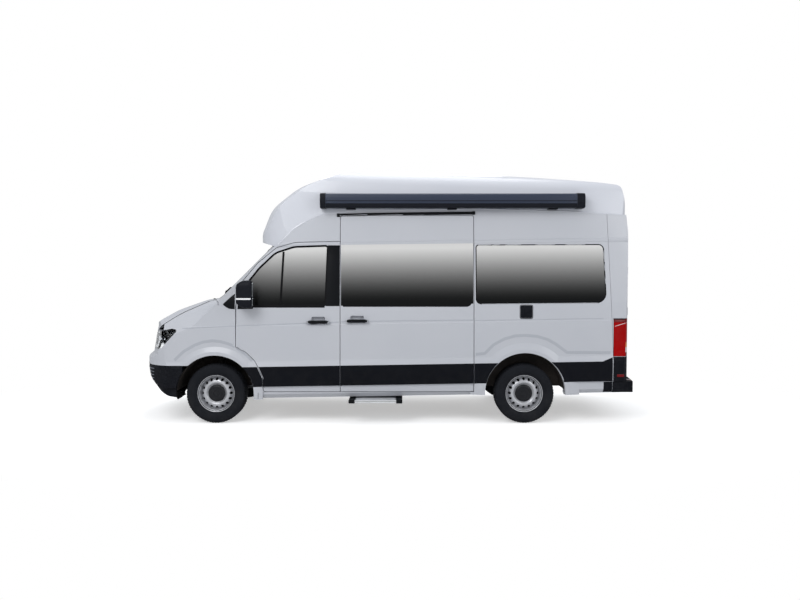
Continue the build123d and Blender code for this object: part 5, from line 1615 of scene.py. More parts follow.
@dataclass
class FrontEnd:
    """What dresses the nose: grille bars, bumper louvres, bonnet lines, wipers, the cowl and mud flaps."""

    skin: Skin = field(init=False)

    def __post_init__(self) -> None:
        """Gather the nose's surfaces."""
        self.skin = Skin("bonnet", "nose_panel", "front_bumper", "front_wings", "windscreen", "screen_frame",
                         "headlamps")

    def build_grille(self) -> None:
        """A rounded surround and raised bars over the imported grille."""
        corners = ((-0.430, 0.846), (0.430, 0.846), (0.492, 1.034), (-0.492, 1.034))
        path = spaced([Vector(corner) for corner in corners], 0.03, True)
        skin = Skin("nose_panel", "grille")
        skin.ribbon("grille_surround", Fall.BACK, Side.LEFT, path, 0.020, 0.004, "chassis", BLACK_PLASTIC,
                    True)
        for k, z in enumerate((0.863, 0.903, 0.944, 0.985, 1.020)):
            half = mix(0.430, 0.488, (z - 0.846) / 0.188)
            bar = [Vector((y, z)) for y in even(-half, half, 30)]
            lines = [beside(bar, gap) for gap in (-0.0135, -0.0135, -0.009, 0.009, 0.0135, 0.0135)]
            Skin("grille").lay(f"grille_bar_{k + 1}", Fall.BACK, Side.LEFT, lines,
                               raised(0.001, 0.0035, -0.020), "chassis", BLACK_PLASTIC, ends=0.02,
                               sharp=40)

    def build_bumper(self) -> None:
        """Side louvres, the middle plate rest, the top edge and small flaps ahead of the front wheels."""
        flap_y, flap_thickness, flap_corner = 0.885, 0.010, 0.004
        # A flap's rings from the top: height, half width and distance
        flap_rings = ((0.372, 0.105, -452), (0.330, 0.105, -451), (0.300, 0.100, -448), (0.286, 0.088, -446))
        for side in Side:
            for k in range(6):
                z = mix(0.452, 0.640, k / 5)
                line = [Vector((at(mix(-888, -742, i / 10)), z + 0.004 * i / 10)) for i in range(11)]
                self.skin.ribbon(f"bumper_louvre_{k + 1}_{side.word}", Fall.ACROSS, side, line, 0.010, 0.007,
                                 "chassis", LOUVRE_GREY)
            rings = [[(at(distance) + p.x, side.value * flap_y + p.y, z)
                      for p in rounded_box_loop(flap_thickness, half * 2, flap_corner, 3)]
                     for z, half, distance in flap_rings]
            Shape().loft(rings).piece(f"front_mud_flap_{side.word}", "chassis", BLACK_RUBBER, 50)
        rest = [[Vector((y, z)) for y in even(-0.27, 0.27, 16)]
                for z in (0.628, 0.628, 0.632, 0.736, 0.740, 0.740)]
        self.skin.lay("front_plate_rest", Fall.BACK, Side.LEFT, rest, raised(0.0008, 0.0024),
                      "chassis", BLACK_PLASTIC)
        edge = [Vector((y, 0.694)) for y in (mix(-0.80, 0.80, k / 40) for k in range(41))]
        self.skin.ribbon("bumper_top_edge", Fall.BACK, Side.LEFT, edge, 0.010, 0.0012, "chassis",
                         DARK_PLASTIC)

    def build_bonnet(self) -> None:
        """Two raised lines on the bonnet and the washer jets."""
        for side in Side:
            s = side.value
            line = [Vector((at(d), s * y)) for d, y in straight((-735, 0.430), (-215, 0.600), 20)]
            lines = [beside(line, gap) for gap in (-0.030, -0.015, 0.0, 0.015, 0.030)]
            Skin("bonnet").lay(f"bonnet_line_{side.word}", Fall.DOWN, side, lines,
                               (-0.0005, 0.0012, 0.0028, 0.0012, -0.0005), "bonnet", WHITE_PAINT, ends=0.001,
                               sharp=70)
            jet = Skin("bonnet").drop(Fall.DOWN, side, at(-170), s * 0.30, 0.0)
            if jet is not None:
                rings = [[(jet[0] + p.x, jet[1] + p.y, jet[2] + h)
                          for p in rounded_box_loop(w, w * 0.8, w * 0.3, 3)]
                         for h, w in ((-0.004, 0.030), (0.004, 0.030), (0.009, 0.022), (0.010, 0.012))]
                Shape().loft(rings).piece(f"washer_jet_{side.word}", "bonnet", BLACK_PLASTIC, 50)

    def build_cowl(self) -> None:
        """The dark cowl between bonnet and windscreen, and the screen's black border."""
        skin = Skin("screen_frame", "windscreen", "bonnet")
        lines = [[Vector((y, z)) for y in even(-0.80, 0.80, 40)]
                 for z in (1.468, 1.468, 1.474, 1.500)]
        skin.lay("cowl_strip", Fall.BACK, Side.LEFT, lines, (-0.004, 0.004, 0.006, 0.003), "chassis",
                 BLACK_PLASTIC)
        rows = [(-0.872, 1.492), (-0.800, 2.052), (0.800, 2.052), (0.872, 1.492)]
        path = spaced(eased_corners([Vector(row) for row in rows], 0.085), 0.045, True)
        skin.ribbon("screen_seal", Fall.BACK, Side.LEFT, path, 0.024, 0.0015, "chassis", BLACK_RUBBER, True)
        middle = Vector((0.0, 1.772))
        Skin("windscreen").lay("screen_border", Fall.BACK, Side.LEFT,
                               [[middle + (p - middle) * g for p in path]
                                for g in (0.984, 0.972, 0.958, 0.948)],
                               (0.0004, 0.0005, 0.0005, 0.0004), "chassis", BLACK_RUBBER, closed=True)

    def build_wiper(self, glass: Skin, name: str, foot_y: float, tip: Pair, blade: float) -> None:
        """One wiper: a tapered arm, its blade on the glass and the boss it turns on.

        Args:
            glass: the windscreen's surface.
            name: the end of the pieces' names.
            foot_y: where the arm starts.
            tip: y and z of the blade's middle.
            blade: half the blade's length.
        """
        foot_z, arm_steps, blade_steps = 1.478, 8, 16
        foot_lift, tip_lift = 0.010, 0.026
        glass_half, glass_low = 0.78, 1.50
        tip_y, tip_z = tip

        def spot(y: float, z: float, lift: float) -> Vector:
            """A point off the glass."""
            found = glass.drop(Fall.BACK, Side.LEFT, y, z, lift)
            return Vector(found) if found is not None else Vector((at(-60), y, z))

        foot, end = spot(foot_y, foot_z, foot_lift), spot(tip_y, tip_z, tip_lift)
        rings = []
        for k in range(arm_steps + 1):
            share = k / arm_steps
            point = foot.lerp(end, share) + Vector((-0.012 * sin(pi * share), 0, 0.006 * sin(pi * share)))
            size = mix(0.020, 0.009, share)
            rings.append([point + Vector((p.y * 0.6, 0.0, p.x))
                          for p in rounded_box_loop(size, size * 0.7, size * 0.2, 2)])
        Shape().loft(rings).piece(f"wiper_arm_{name}", "chassis", BLACK_PLASTIC, 50)
        blade_line = []
        direction = Vector((tip_y - foot_y, tip_z - foot_z)).normalized()
        for k in range(blade_steps + 1):
            offset = mix(-blade, blade, k / blade_steps)
            y = tip_y + direction.x * offset * 0.98
            z = tip_z + direction.y * offset * 0.98
            blade_line.append(Vector((max(-glass_half, min(glass_half, y)), max(glass_low, z))))
        lines = [beside(blade_line, gap) for gap in (-0.010, -0.007, -0.003, 0.003, 0.007, 0.010)]
        glass.lay(f"wiper_blade_{name}", Fall.BACK, Side.LEFT, lines, raised(0.016, 0.022, 0.0), "chassis",
                  BLACK_RUBBER, ends=0.0)
        boss = [(0.021, -0.014), (0.021, 0.004), (0.017, 0.010), (0.0004, 0.011)]

        def place(r: float, angle: float, h: float) -> Triple:
            """A point of the wiper's boss."""
            return (foot.x - 0.6 * h, foot.y + r * cos(angle), foot.z + 0.8 * h + r * sin(angle) * 0.8)

        turned = Shape().turned(boss, place, 24, caps=True)
        turned.piece(f"wiper_boss_{name}", "chassis", BLACK_PLASTIC, 50)

    def build_wipers(self) -> None:
        """Two wipers, parked low on the windscreen."""
        glass = Skin("windscreen", "screen_frame", "bonnet")
        self.build_wiper(glass, "left", -0.060, (-0.640, 1.560), 0.33)
        self.build_wiper(glass, "right", 0.560, (0.010, 1.548), 0.30)

    def build_wipers(self) -> None:
        """Two wiper arms with their blades, parked low on the windscreen."""
        glass = Skin("windscreen", "screen_frame", "bonnet")
        for name, foot_y, tip_y, tip_z, blade in (("left", -0.060, -0.640, 1.560, 0.33),
                                                  ("right", 0.560, 0.010, 1.548, 0.30)):
            def spot(y: float, z: float, lift: float) -> Vector:
                """A point off the glass."""
                found = glass.drop(Fall.BACK, Side.LEFT, y, z, lift)
                return Vector(found) if found is not None else Vector((at(-60), y, z))
            foot = spot(foot_y, 1.478, 0.010)
            tip = spot(tip_y, tip_z, 0.026)
            arm = [foot.lerp(tip, k / 8) + Vector((-0.012 * sin(pi * k / 8), 0, 0.006 * sin(pi * k / 8)))
                   for k in range(9)]
            rings = []
            for k, point in enumerate(arm):
                size = mix(0.020, 0.009, k / 8)
                rings.append([point + Vector((p.y * 0.6, 0.0, p.x))
                              for p in rounded_box_loop(size, size * 0.7,
                                                         size * 0.2, 2)])
            Shape().loft(rings).piece(f"wiper_arm_{name}", "chassis", BLACK_PLASTIC, 50)
            blade_line = []
            direction = Vector((tip_y - foot_y, tip_z - 1.478)).normalized()
            for k in range(17):
                offset = mix(-blade, blade, k / 16)
                y = tip_y + direction.x * offset * 0.98
                z = tip_z + direction.y * offset * 0.98
                blade_line.append(Vector((max(-0.78, min(0.78, y)), max(1.50, z))))
            lines = [beside(blade_line, gap) for gap in (-0.010, -0.007, -0.003, 0.003, 0.007, 0.010)]
            glass.lay(f"wiper_blade_{name}", Fall.BACK, Side.LEFT, lines,
                      raised(0.016, 0.022, 0.0), "chassis", BLACK_RUBBER, ends=0.0)
            boss = [(0.021, -0.014), (0.021, 0.004), (0.017, 0.010), (0.0004, 0.011)]

            def place(r: float, angle: float, h: float) -> Triple:
                """A point of the wiper's boss."""
                return (foot.x - 0.6 * h, foot.y + r * cos(angle), foot.z + 0.8 * h + r * sin(angle) * 0.8)

            Shape().turned(boss, place, 24, caps=True).piece(f"wiper_boss_{name}", "chassis", BLACK_PLASTIC,
                                                             50)

    def build(self) -> None:
        """Build the front end's trim."""
        self.build_grille()
        self.build_bumper()
        self.build_bonnet()
        self.build_cowl()
        self.build_wipers()
        for side in Side:
            Headlamp(side).build()
        log.info("front end")


@dataclass
class TailLamp:
    """One tail lamp round the rear corner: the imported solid's faces, split into coloured fields."""

    side: Side
    fields: tuple[tuple[float, float, Finish], ...] = (
        (0.795, 0.845, RED_DARK), (0.845, 0.905, CLEAR_LENS), (0.905, 0.965, AMBER_LENS),
        (0.965, 1.196, RED_LENS), (1.196, 1.245, RED_DARK))

    def build(self) -> None:
        """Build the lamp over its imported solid."""
        source = bmesh.new()
        source.from_mesh(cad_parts["tail_lamps"].data)
        away = [f for f in source.faces if f.calc_center_median().y * self.side.value < 0]
        bmesh.ops.delete(source, geom=away, context="FACES")
        bmesh.ops.remove_doubles(source, verts=source.verts, dist=1e-5)
        cuts = sorted({low for low, _, _ in self.fields} | {high for _, high, _ in self.fields})
        for z in cuts[1:-1]:
            whole = list(source.verts) + list(source.edges) + list(source.faces)
            bmesh.ops.bisect_plane(source, geom=whole, plane_co=(0, 0, z), plane_no=(0, 0, 1))
        mesh = bpy.data.meshes.new(f"tail_lamp_{self.side.word}")
        for face in source.faces:
            z = face.calc_center_median().z
            outer_turn = face.normal.dot(Vector((0.7, 0.7 * self.side.value, 0.0)))
            if outer_turn < 0.3:
                face.material_index = len(self.fields)
                continue
            side_face = abs(face.normal.y) > 0.75
            for k, (low, high, _) in enumerate(self.fields):
                if low <= z < high:
                    face.material_index = 3 if side_face and z < 1.19 else k
        source.to_mesh(mesh)
        source.free()
        for _, _, finish in self.fields:
            mesh.materials.append(finish.material())
        mesh.materials.append(BLACK_PLASTIC.material())
        mesh.polygons.foreach_set("use_smooth", [True] * len(mesh.polygons))
        mesh.set_sharp_from_angle(angle=radians(30))
        lamp = bpy.data.objects.new(f"tail_lamp_{self.side.word}", mesh)
        bpy.context.scene.collection.objects.link(lamp)
        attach(lamp, "chassis")
        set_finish(lamp, "tail_lens")
        if self.side is Side.LEFT:
            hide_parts("tail_lamps")
        skin = Skin("tail_lamps", "rear_frame", "rear_bumper")
        diagonal = [Vector((at(d), z)) for d, z in straight((4688, 1.150), (4862, 1.205), 10)]
        skin.ribbon(f"tail_lamp_light_{self.side.word}", Fall.ACROSS, self.side, diagonal, 0.007, 0.0012,
                    "chassis", CLEAR_LENS)
        top = [Vector((at(d), 1.2335)) for d in even(4680, 4890, 10)]
        skin.ribbon(f"tail_lamp_brow_{self.side.word}", Fall.ACROSS, self.side, top, 0.012, 0.0012,
                    "chassis", BLACK_PLASTIC)
        log.info("tail lamp %s", self.side.word)


@dataclass
class RearEnd:
    """What dresses the back: hinges, handle, plate rest, high brake lamp, bumper pads and reflectors."""

    skin: Skin = field(init=False)
    hinge_heights: tuple[float, ...] = (0.78, 1.32, 1.80, 2.28)
    # The hinge barrel's rings: radius and height
    barrel: tuple[Pair, ...] = ((0.0105, -0.045), (0.0115, -0.043), (0.0115, -0.001), (0.0105, 0.0),
                                (0.0115, 0.001), (0.0115, 0.043), (0.0105, 0.045))
    # Corners of a door's window, from its outer lower one: distance from the middle and height
    window: tuple[Pair, ...] = ((-0.740, 1.400), (-0.110, 1.400), (-0.110, 2.060), (-0.700, 2.060))
    # Plates: name, left, right, lower and upper edge, how far each stands off, body and finish
    plates: tuple[tuple[str, float, float, float, float, float, str, Finish], ...] = (
        ("rear_plate_rest", -0.620, -0.090, 0.875, 1.010, 0.006, "rear_door_left", BLACK_PLASTIC),
        ("rear_plate_blank", -0.612, -0.098, 0.885, 0.998, 0.009, "rear_door_left", STEP_WHITE),
        ("rear_handle_rest", 0.030, 0.215, 1.070, 1.190, 0.005, "rear_door_right", BLACK_PLASTIC),
        ("rear_handle_grip", 0.045, 0.200, 1.112, 1.146, 0.024, "rear_door_right", DARK_PLASTIC),
        ("high_brake_lamp_base", -0.170, 0.170, 2.408, 2.448, 0.010, "chassis", BLACK_PLASTIC),
        ("high_brake_lamp", -0.150, 0.150, 2.416, 2.440, 0.014, "chassis", RED_LENS))

    def __post_init__(self) -> None:
        """Gather the back's surfaces."""
        self.skin = Skin("rear_frame", "rear_door_left", "rear_door_right", "rear_glass_left",
                         "rear_glass_right", "rear_bumper", "roof", "tail_lamps")

    def patch(self, name: str, y0: float, y1: float, z0: float, z1: float, height: float, body: str,
              finish: Finish) -> None:
        """Lay a rounded rectangular plate on the back.

        Args:
            name: its name.
            y0: its left edge.
            y1: its right edge.
            z0: its lower edge.
            z1: its upper edge.
            height: how far it stands off.
            body: the body it rides on.
            finish: its finish.
        """
        inset = min(0.006, (z1 - z0) / 5)
        columns = even(y0, y1, 12)
        rows = [z0, z0, z0 + inset, z1 - inset, z1, z1]
        lifts = raised(height * 0.6, height)
        lines = [[Vector((y, z)) for y in columns] for z in rows]
        self.skin.lay(name, Fall.FORWARD, Side.LEFT, lines, lifts, body, finish)

    def build_hinge(self, side: Side, ending: str, z: float) -> None:
        """One hinge: a turned barrel on the frame and a flat leaf on the door.

        Args:
            side: the door's side.
            ending: the end of the pieces' names.
            z: the hinge's height.
        """
        door_low, door_rise = 0.604, 1.788
        leaf_half, leaf_height = 0.024, 0.006
        s = side.value
        y_edge = mix(0.885, 0.815, (z - door_low) / door_rise)
        centre = self.skin.drop(Fall.FORWARD, side, s * (y_edge + 0.012), z, 0.0)
        if centre is None:
            return
        cx, cy = centre[0] + 0.004, centre[1]

        def place(r: float, angle: float, h: float) -> Triple:
            """A point of the hinge barrel."""
            return (cx + r * cos(angle), cy + r * sin(angle), z + h)

        barrel = Shape().turned(self.barrel, place, 20, caps=True)
        barrel.piece(f"rear_hinge_{ending}", "chassis", WHITE_PAINT, 40)
        left, right = sorted((s * (y_edge - 0.09), s * (y_edge - 0.006)))
        self.patch(f"rear_hinge_leaf_{ending}", left, right, z - leaf_half, z + leaf_half, leaf_height,
                   f"rear_door_{side.word}", WHITE_PAINT)

    def build_doors(self) -> None:
        """Seals, hinges, the handle, the blank plate rest and the lap between the doors."""
        for side in Side:
            corners = [Vector((-side.value * y, z)) for y, z in self.window]
            loop = spaced(eased_corners(corners, 0.055), 0.05, True)
            self.skin.ribbon(f"rear_window_seal_{side.word}", Fall.FORWARD, side, loop, 0.018, 0.0012,
                             f"rear_door_{side.word}", BLACK_RUBBER, True)
            for k, z in enumerate(self.hinge_heights):
                self.build_hinge(side, f"{k + 1}_{side.word}", z)
        for plate in self.plates:
            self.patch(*plate)
        lap_low, lap_high, lap_steps = 0.62, 2.38, 30
        centre = [Vector((0.0, mix(lap_low, lap_high, k / lap_steps))) for k in range(lap_steps + 1)]
        lines = [[p + Vector((across, 0)) for p in centre] for across in (-0.013, -0.013, 0.004, 0.010)]
        self.skin.lay("rear_door_lap", Fall.FORWARD, Side.LEFT, lines, (-0.002, 0.0016, 0.0016, 0.0012),
                      "rear_door_left", BLACK_RUBBER)

    def build_bumper(self) -> None:
        """Ribbed step pads on the bumper's top and small red reflectors."""
        top = Skin("rear_bumper")
        for name, y0, y1 in (("left", -0.86, -0.40), ("middle", -0.34, 0.34), ("right", 0.40, 0.86)):
            for k in range(5):
                x = mix(2.942, 2.974, k / 4)
                line = [Vector((x, v)) for v in even(y0, y1, 16)]
                lines = [beside(line, gap) for gap in (-0.0032, -0.0018, 0.0018, 0.0032)]
                top.lay(f"step_pad_{name}_{k + 1}", Fall.DOWN, Side.LEFT, lines,
                        (-0.002, 0.0025, 0.0025, -0.002), "chassis", BLACK_RUBBER, ends=0.002)
        for side in Side:
            s = side.value
            low, high = sorted((s * 0.90, s * 0.80))
            self.patch(f"rear_reflector_{side.word}", low, high, 0.500, 0.530, 0.004, "chassis", RED_DARK)
            line = [Vector((at(d), 0.572)) for d in even(4715, 4800, 6)]
            Skin("rear_bumper").ribbon(f"side_reflector_{side.word}", Fall.ACROSS, side, line, 0.030, 0.003,
                                       "chassis", RED_DARK)

    def build_flap(self) -> None:
        """The dark service flap on the left side, with its frame and catch."""
        rows = [(3582, 1242, 16), (3582, 1396, 16), (3726, 1396, 16), (3726, 1242, 16)]
        path = spaced(rounded_path(rows), 0.02, True)
        Skin("side_left", "service_flap").ribbon("flap_frame", Fall.ACROSS, Side.LEFT, path, 0.012, 0.0025,
                                                 "chassis", BLACK_PLASTIC, True)
        catch = [[Vector((at(3654) + dx * MM, z)) for dx in (-14, -7, 0, 7, 14)]
                 for z in (1.262, 1.262, 1.265, 1.276, 1.279, 1.279)]
        Skin("service_flap").lay("flap_catch", Fall.ACROSS, Side.LEFT, catch,
                                 raised(0.001, 0.003, -0.003), "service_flap", BLACK_PLASTIC)

    def build(self) -> None:
        """Build the rear end's trim."""
        self.build_doors()
        self.build_bumper()
        self.build_flap()
        for side in Side:
            TailLamp(side).build()
        log.info("rear end")


@dataclass
class EntranceStep:
    """The slide-out step: dark end brackets, a ribbed tread and a pale front edge."""

    front: float = at(1573)
    rear: float = at(2191)
    y_front: float = -1.100
    y_rear: float = -0.620

    def build(self) -> None:
        """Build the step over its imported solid."""
        plate = Shape().slab((self.front + 0.070, self.y_front + 0.010, 0.2765),
                             (self.rear - 0.060, self.y_rear + 0.004, 0.2915))
        tread = softened(plate.piece("step_plate", "entrance_step", STEP_METAL), 0.002)
        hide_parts("step_tread")
        for k in range(11):
            y = mix(self.y_front + 0.030, self.y_rear - 0.150, k / 10)
            section = ((-0.006, 0.2905), (-0.004, 0.2938), (0.004, 0.2938), (0.006, 0.2905))
            rib = [[(x, y + dy, z) for dy, z in section] for x in (self.front + 0.084, self.rear - 0.074)]
            Shape().loft(rib).piece(f"step_rib_{k + 1}", "entrance_step", STEP_METAL, 50)
        edge = [[(x, self.y_front + dy, z) for dy, z in ((0.0005, 0.2665), (0.0005, 0.2925), (0.003, 0.2946),
                                                          (0.012, 0.2946), (0.012, 0.2645), (0.003, 0.2645))]
                for x in (self.front + 0.072, self.rear - 0.062)]
        Shape().loft(edge).piece("step_front_edge", "entrance_step", STEP_WHITE, 40)
        section = ((-0.0002, 0.2800), (-0.0002, 0.2835), (0.004, 0.2835), (0.004, 0.2800))
        line = [[(x, self.y_front + dy, z) for dy, z in section]
                for x in (self.front + 0.074, self.rear - 0.064)]
        Shape().loft(line).piece("step_edge_line", "entrance_step", BLACK_RUBBER, 40)
        for name, x0, x1 in (("front", self.front, self.front + 0.076),
                             ("rear", self.rear - 0.066, self.rear + 0.010)):
            loops = []
            for y, grow in ((self.y_front, -0.003), (self.y_front + 0.004, 0.0), (self.y_rear - 0.004, 0.0),
                            (self.y_rear, -0.003)):
                loops.append([((x0 + x1) / 2 + p.x, y, 0.2788 + p.y)
                              for p in rounded_box_loop(x1 - x0 + 2 * grow, 0.0415 + 2 * grow, 0.009, 4)])
            Shape().loft(loops).piece(f"step_bracket_{name}", "entrance_step", BLACK_PLASTIC, 40)
        log.info("entrance step")


@dataclass
class Cushion:
    """A crowned pad whose sides pull in between its corners, with sewn channels across it."""

    name: str
    spine: tuple[Triple, ...]
    half_width: float
    body: str
    finish: Finish
    channels: tuple[float, ...] = ()
    crown: float = 0.10
    squareness: float = 3.4
    rows: int = 34
    columns: int = 44
    middle_y: float = 0.0

    def spine_at(self, share: float) -> tuple[Vector, float]:
        """The middle line and the half thickness at a share of the pad's length."""
        place = share * (len(self.spine) - 1)
        low = min(int(place), len(self.spine) - 2)
        part = place - low
        x0, z0, t0 = self.spine[low]
        x1, z1, t1 = self.spine[low + 1]
        return Vector((mix(x0, x1, part), 0.0, mix(z0, z1, part))), mix(t0, t1, part)

    def ring(self, share: float) -> list[Vector]:
        """One section across the pad."""
        middle, half = self.spine_at(share)
        ahead, _ = self.spine_at(min(1.0, share + 0.02))
        behind, _ = self.spine_at(max(0.0, share - 0.02))
        along = (ahead - behind).normalized()
        over = Vector((-along.z, 0.0, along.x))
        end = 1 - abs(2 * share - 1) ** 7
        width = self.half_width * (0.94 + 0.06 * abs(2 * share - 1) ** 2) * (0.86 + 0.14 * end)
        dent = sum(0.010 * max(0.0, 1 - ((share - c) / 0.022) ** 2) for c in self.channels)
        thick = half * (0.80 + self.crown * (1 - (2 * share - 1) ** 2)) * max(0.30, end ** 0.5) - dent
        points = []
        for k in range(self.columns):
            angle = 2 * pi * k / self.columns
            c, s = cos(angle), sin(angle)
            u = abs(c) ** (2 / self.squareness) * (1 if c >= 0 else -1)
            v = abs(s) ** (2 / self.squareness) * (1 if s >= 0 else -1)
            belly = 1 + self.crown * (1 - u * u)
            points.append(middle + Vector((0.0, self.middle_y + width * u, 0.0)) + over * thick * v * belly)
        return points

    def build(self) -> bpy.types.Object:
        """Build the pad with a piped seam round its waist."""
        rings = [self.ring(k / (self.rows - 1)) for k in range(self.rows)]
        pad = Shape().loft(rings).piece(self.name, self.body, self.finish, 70)
        subdivided(pad, 1)
        half = self.columns // 2
        seam = [ring[0] for ring in rings] + [ring[half] for ring in reversed(rings)]
        Shape().tube([*seam, seam[0]], 0.0035, 8).piece(f"{self.name}_piping", self.body, SEAT_SIDE, 60)
        return pad


@dataclass
class CabSeat:
    """One front seat: plinth, padded base, bolstered back and head rest."""

    side: Side
    middle: float = 0.430

    def build(self) -> None:
        """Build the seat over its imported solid."""
        word = self.side.word
        y = self.side.value * self.middle
        front, rear = at(930), at(1420)
        base = Cushion(f"seat_base_{word}", ((front + 0.004, 1.012, 0.052), (front + 0.20, 1.022, 0.060),
                                             (rear - 0.02, 1.018, 0.058)), 0.232, "chassis", SEAT_CLOTH,
                       (0.36, 0.68), middle_y=y).build()
        if self.side is Side.LEFT:
            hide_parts("cab_seats")
        Cushion(f"seat_back_{word}", ((rear - 0.015, 1.075, 0.050), (rear + 0.020, 1.30, 0.060),
                                      (rear + 0.088, 1.692, 0.046)), 0.232, "chassis", SEAT_CLOTH,
                (0.25, 0.5, 0.75), middle_y=y).build()
        for sign in (-1, 1):
            spine = ((rear - 0.040, 1.10, 0.030), (rear - 0.020, 1.32, 0.042), (rear + 0.044, 1.62, 0.022))
            Cushion(f"seat_bolster_{'outer' if sign < 0 else 'inner'}_{word}", spine, 0.032, "chassis",
                    SEAT_SIDE, (0.5,), rows=20, columns=20, middle_y=y + sign * 0.196).build()
        Cushion(f"head_rest_{word}", ((rear + 0.082, 1.715, 0.042), (rear + 0.100, 1.80, 0.050),
                                      (rear + 0.118, 1.876, 0.040)), 0.128, "chassis", SEAT_CLOTH, (0.5,),
                rows=20, middle_y=y).build()
        for sign in (-1, 1):
            post = [(rear + 0.074 + 0.02 * k, y + sign * 0.055, 1.66 + 0.04 * k) for k in range(3)]
            Shape().tube(post, 0.006, 10).piece(f"head_rest_post_{'outer' if sign < 0 else 'inner'}_{word}",
                                                "chassis", STEEL_TRIM, 60)
        length, width, corner = 0.36, 0.37, 0.03
        # The plinth's rings from the floor up: height and how far each grows
        plinth = ((0.6405, 0.0), (0.66, 0.0), (0.665, -0.012), (0.90, -0.020), (0.962, 0.004))
        rings = [[((front + rear) / 2 + p.x, y + p.y, z)
                  for p in rounded_box_loop(length + 2 * grow, width + 2 * grow, corner, 4)]
                 for z, grow in plinth]
        Shape().loft(rings).piece(f"seat_plinth_{word}", "chassis", DARK_PLASTIC, 40)
        log.info("cab seat %s", word)


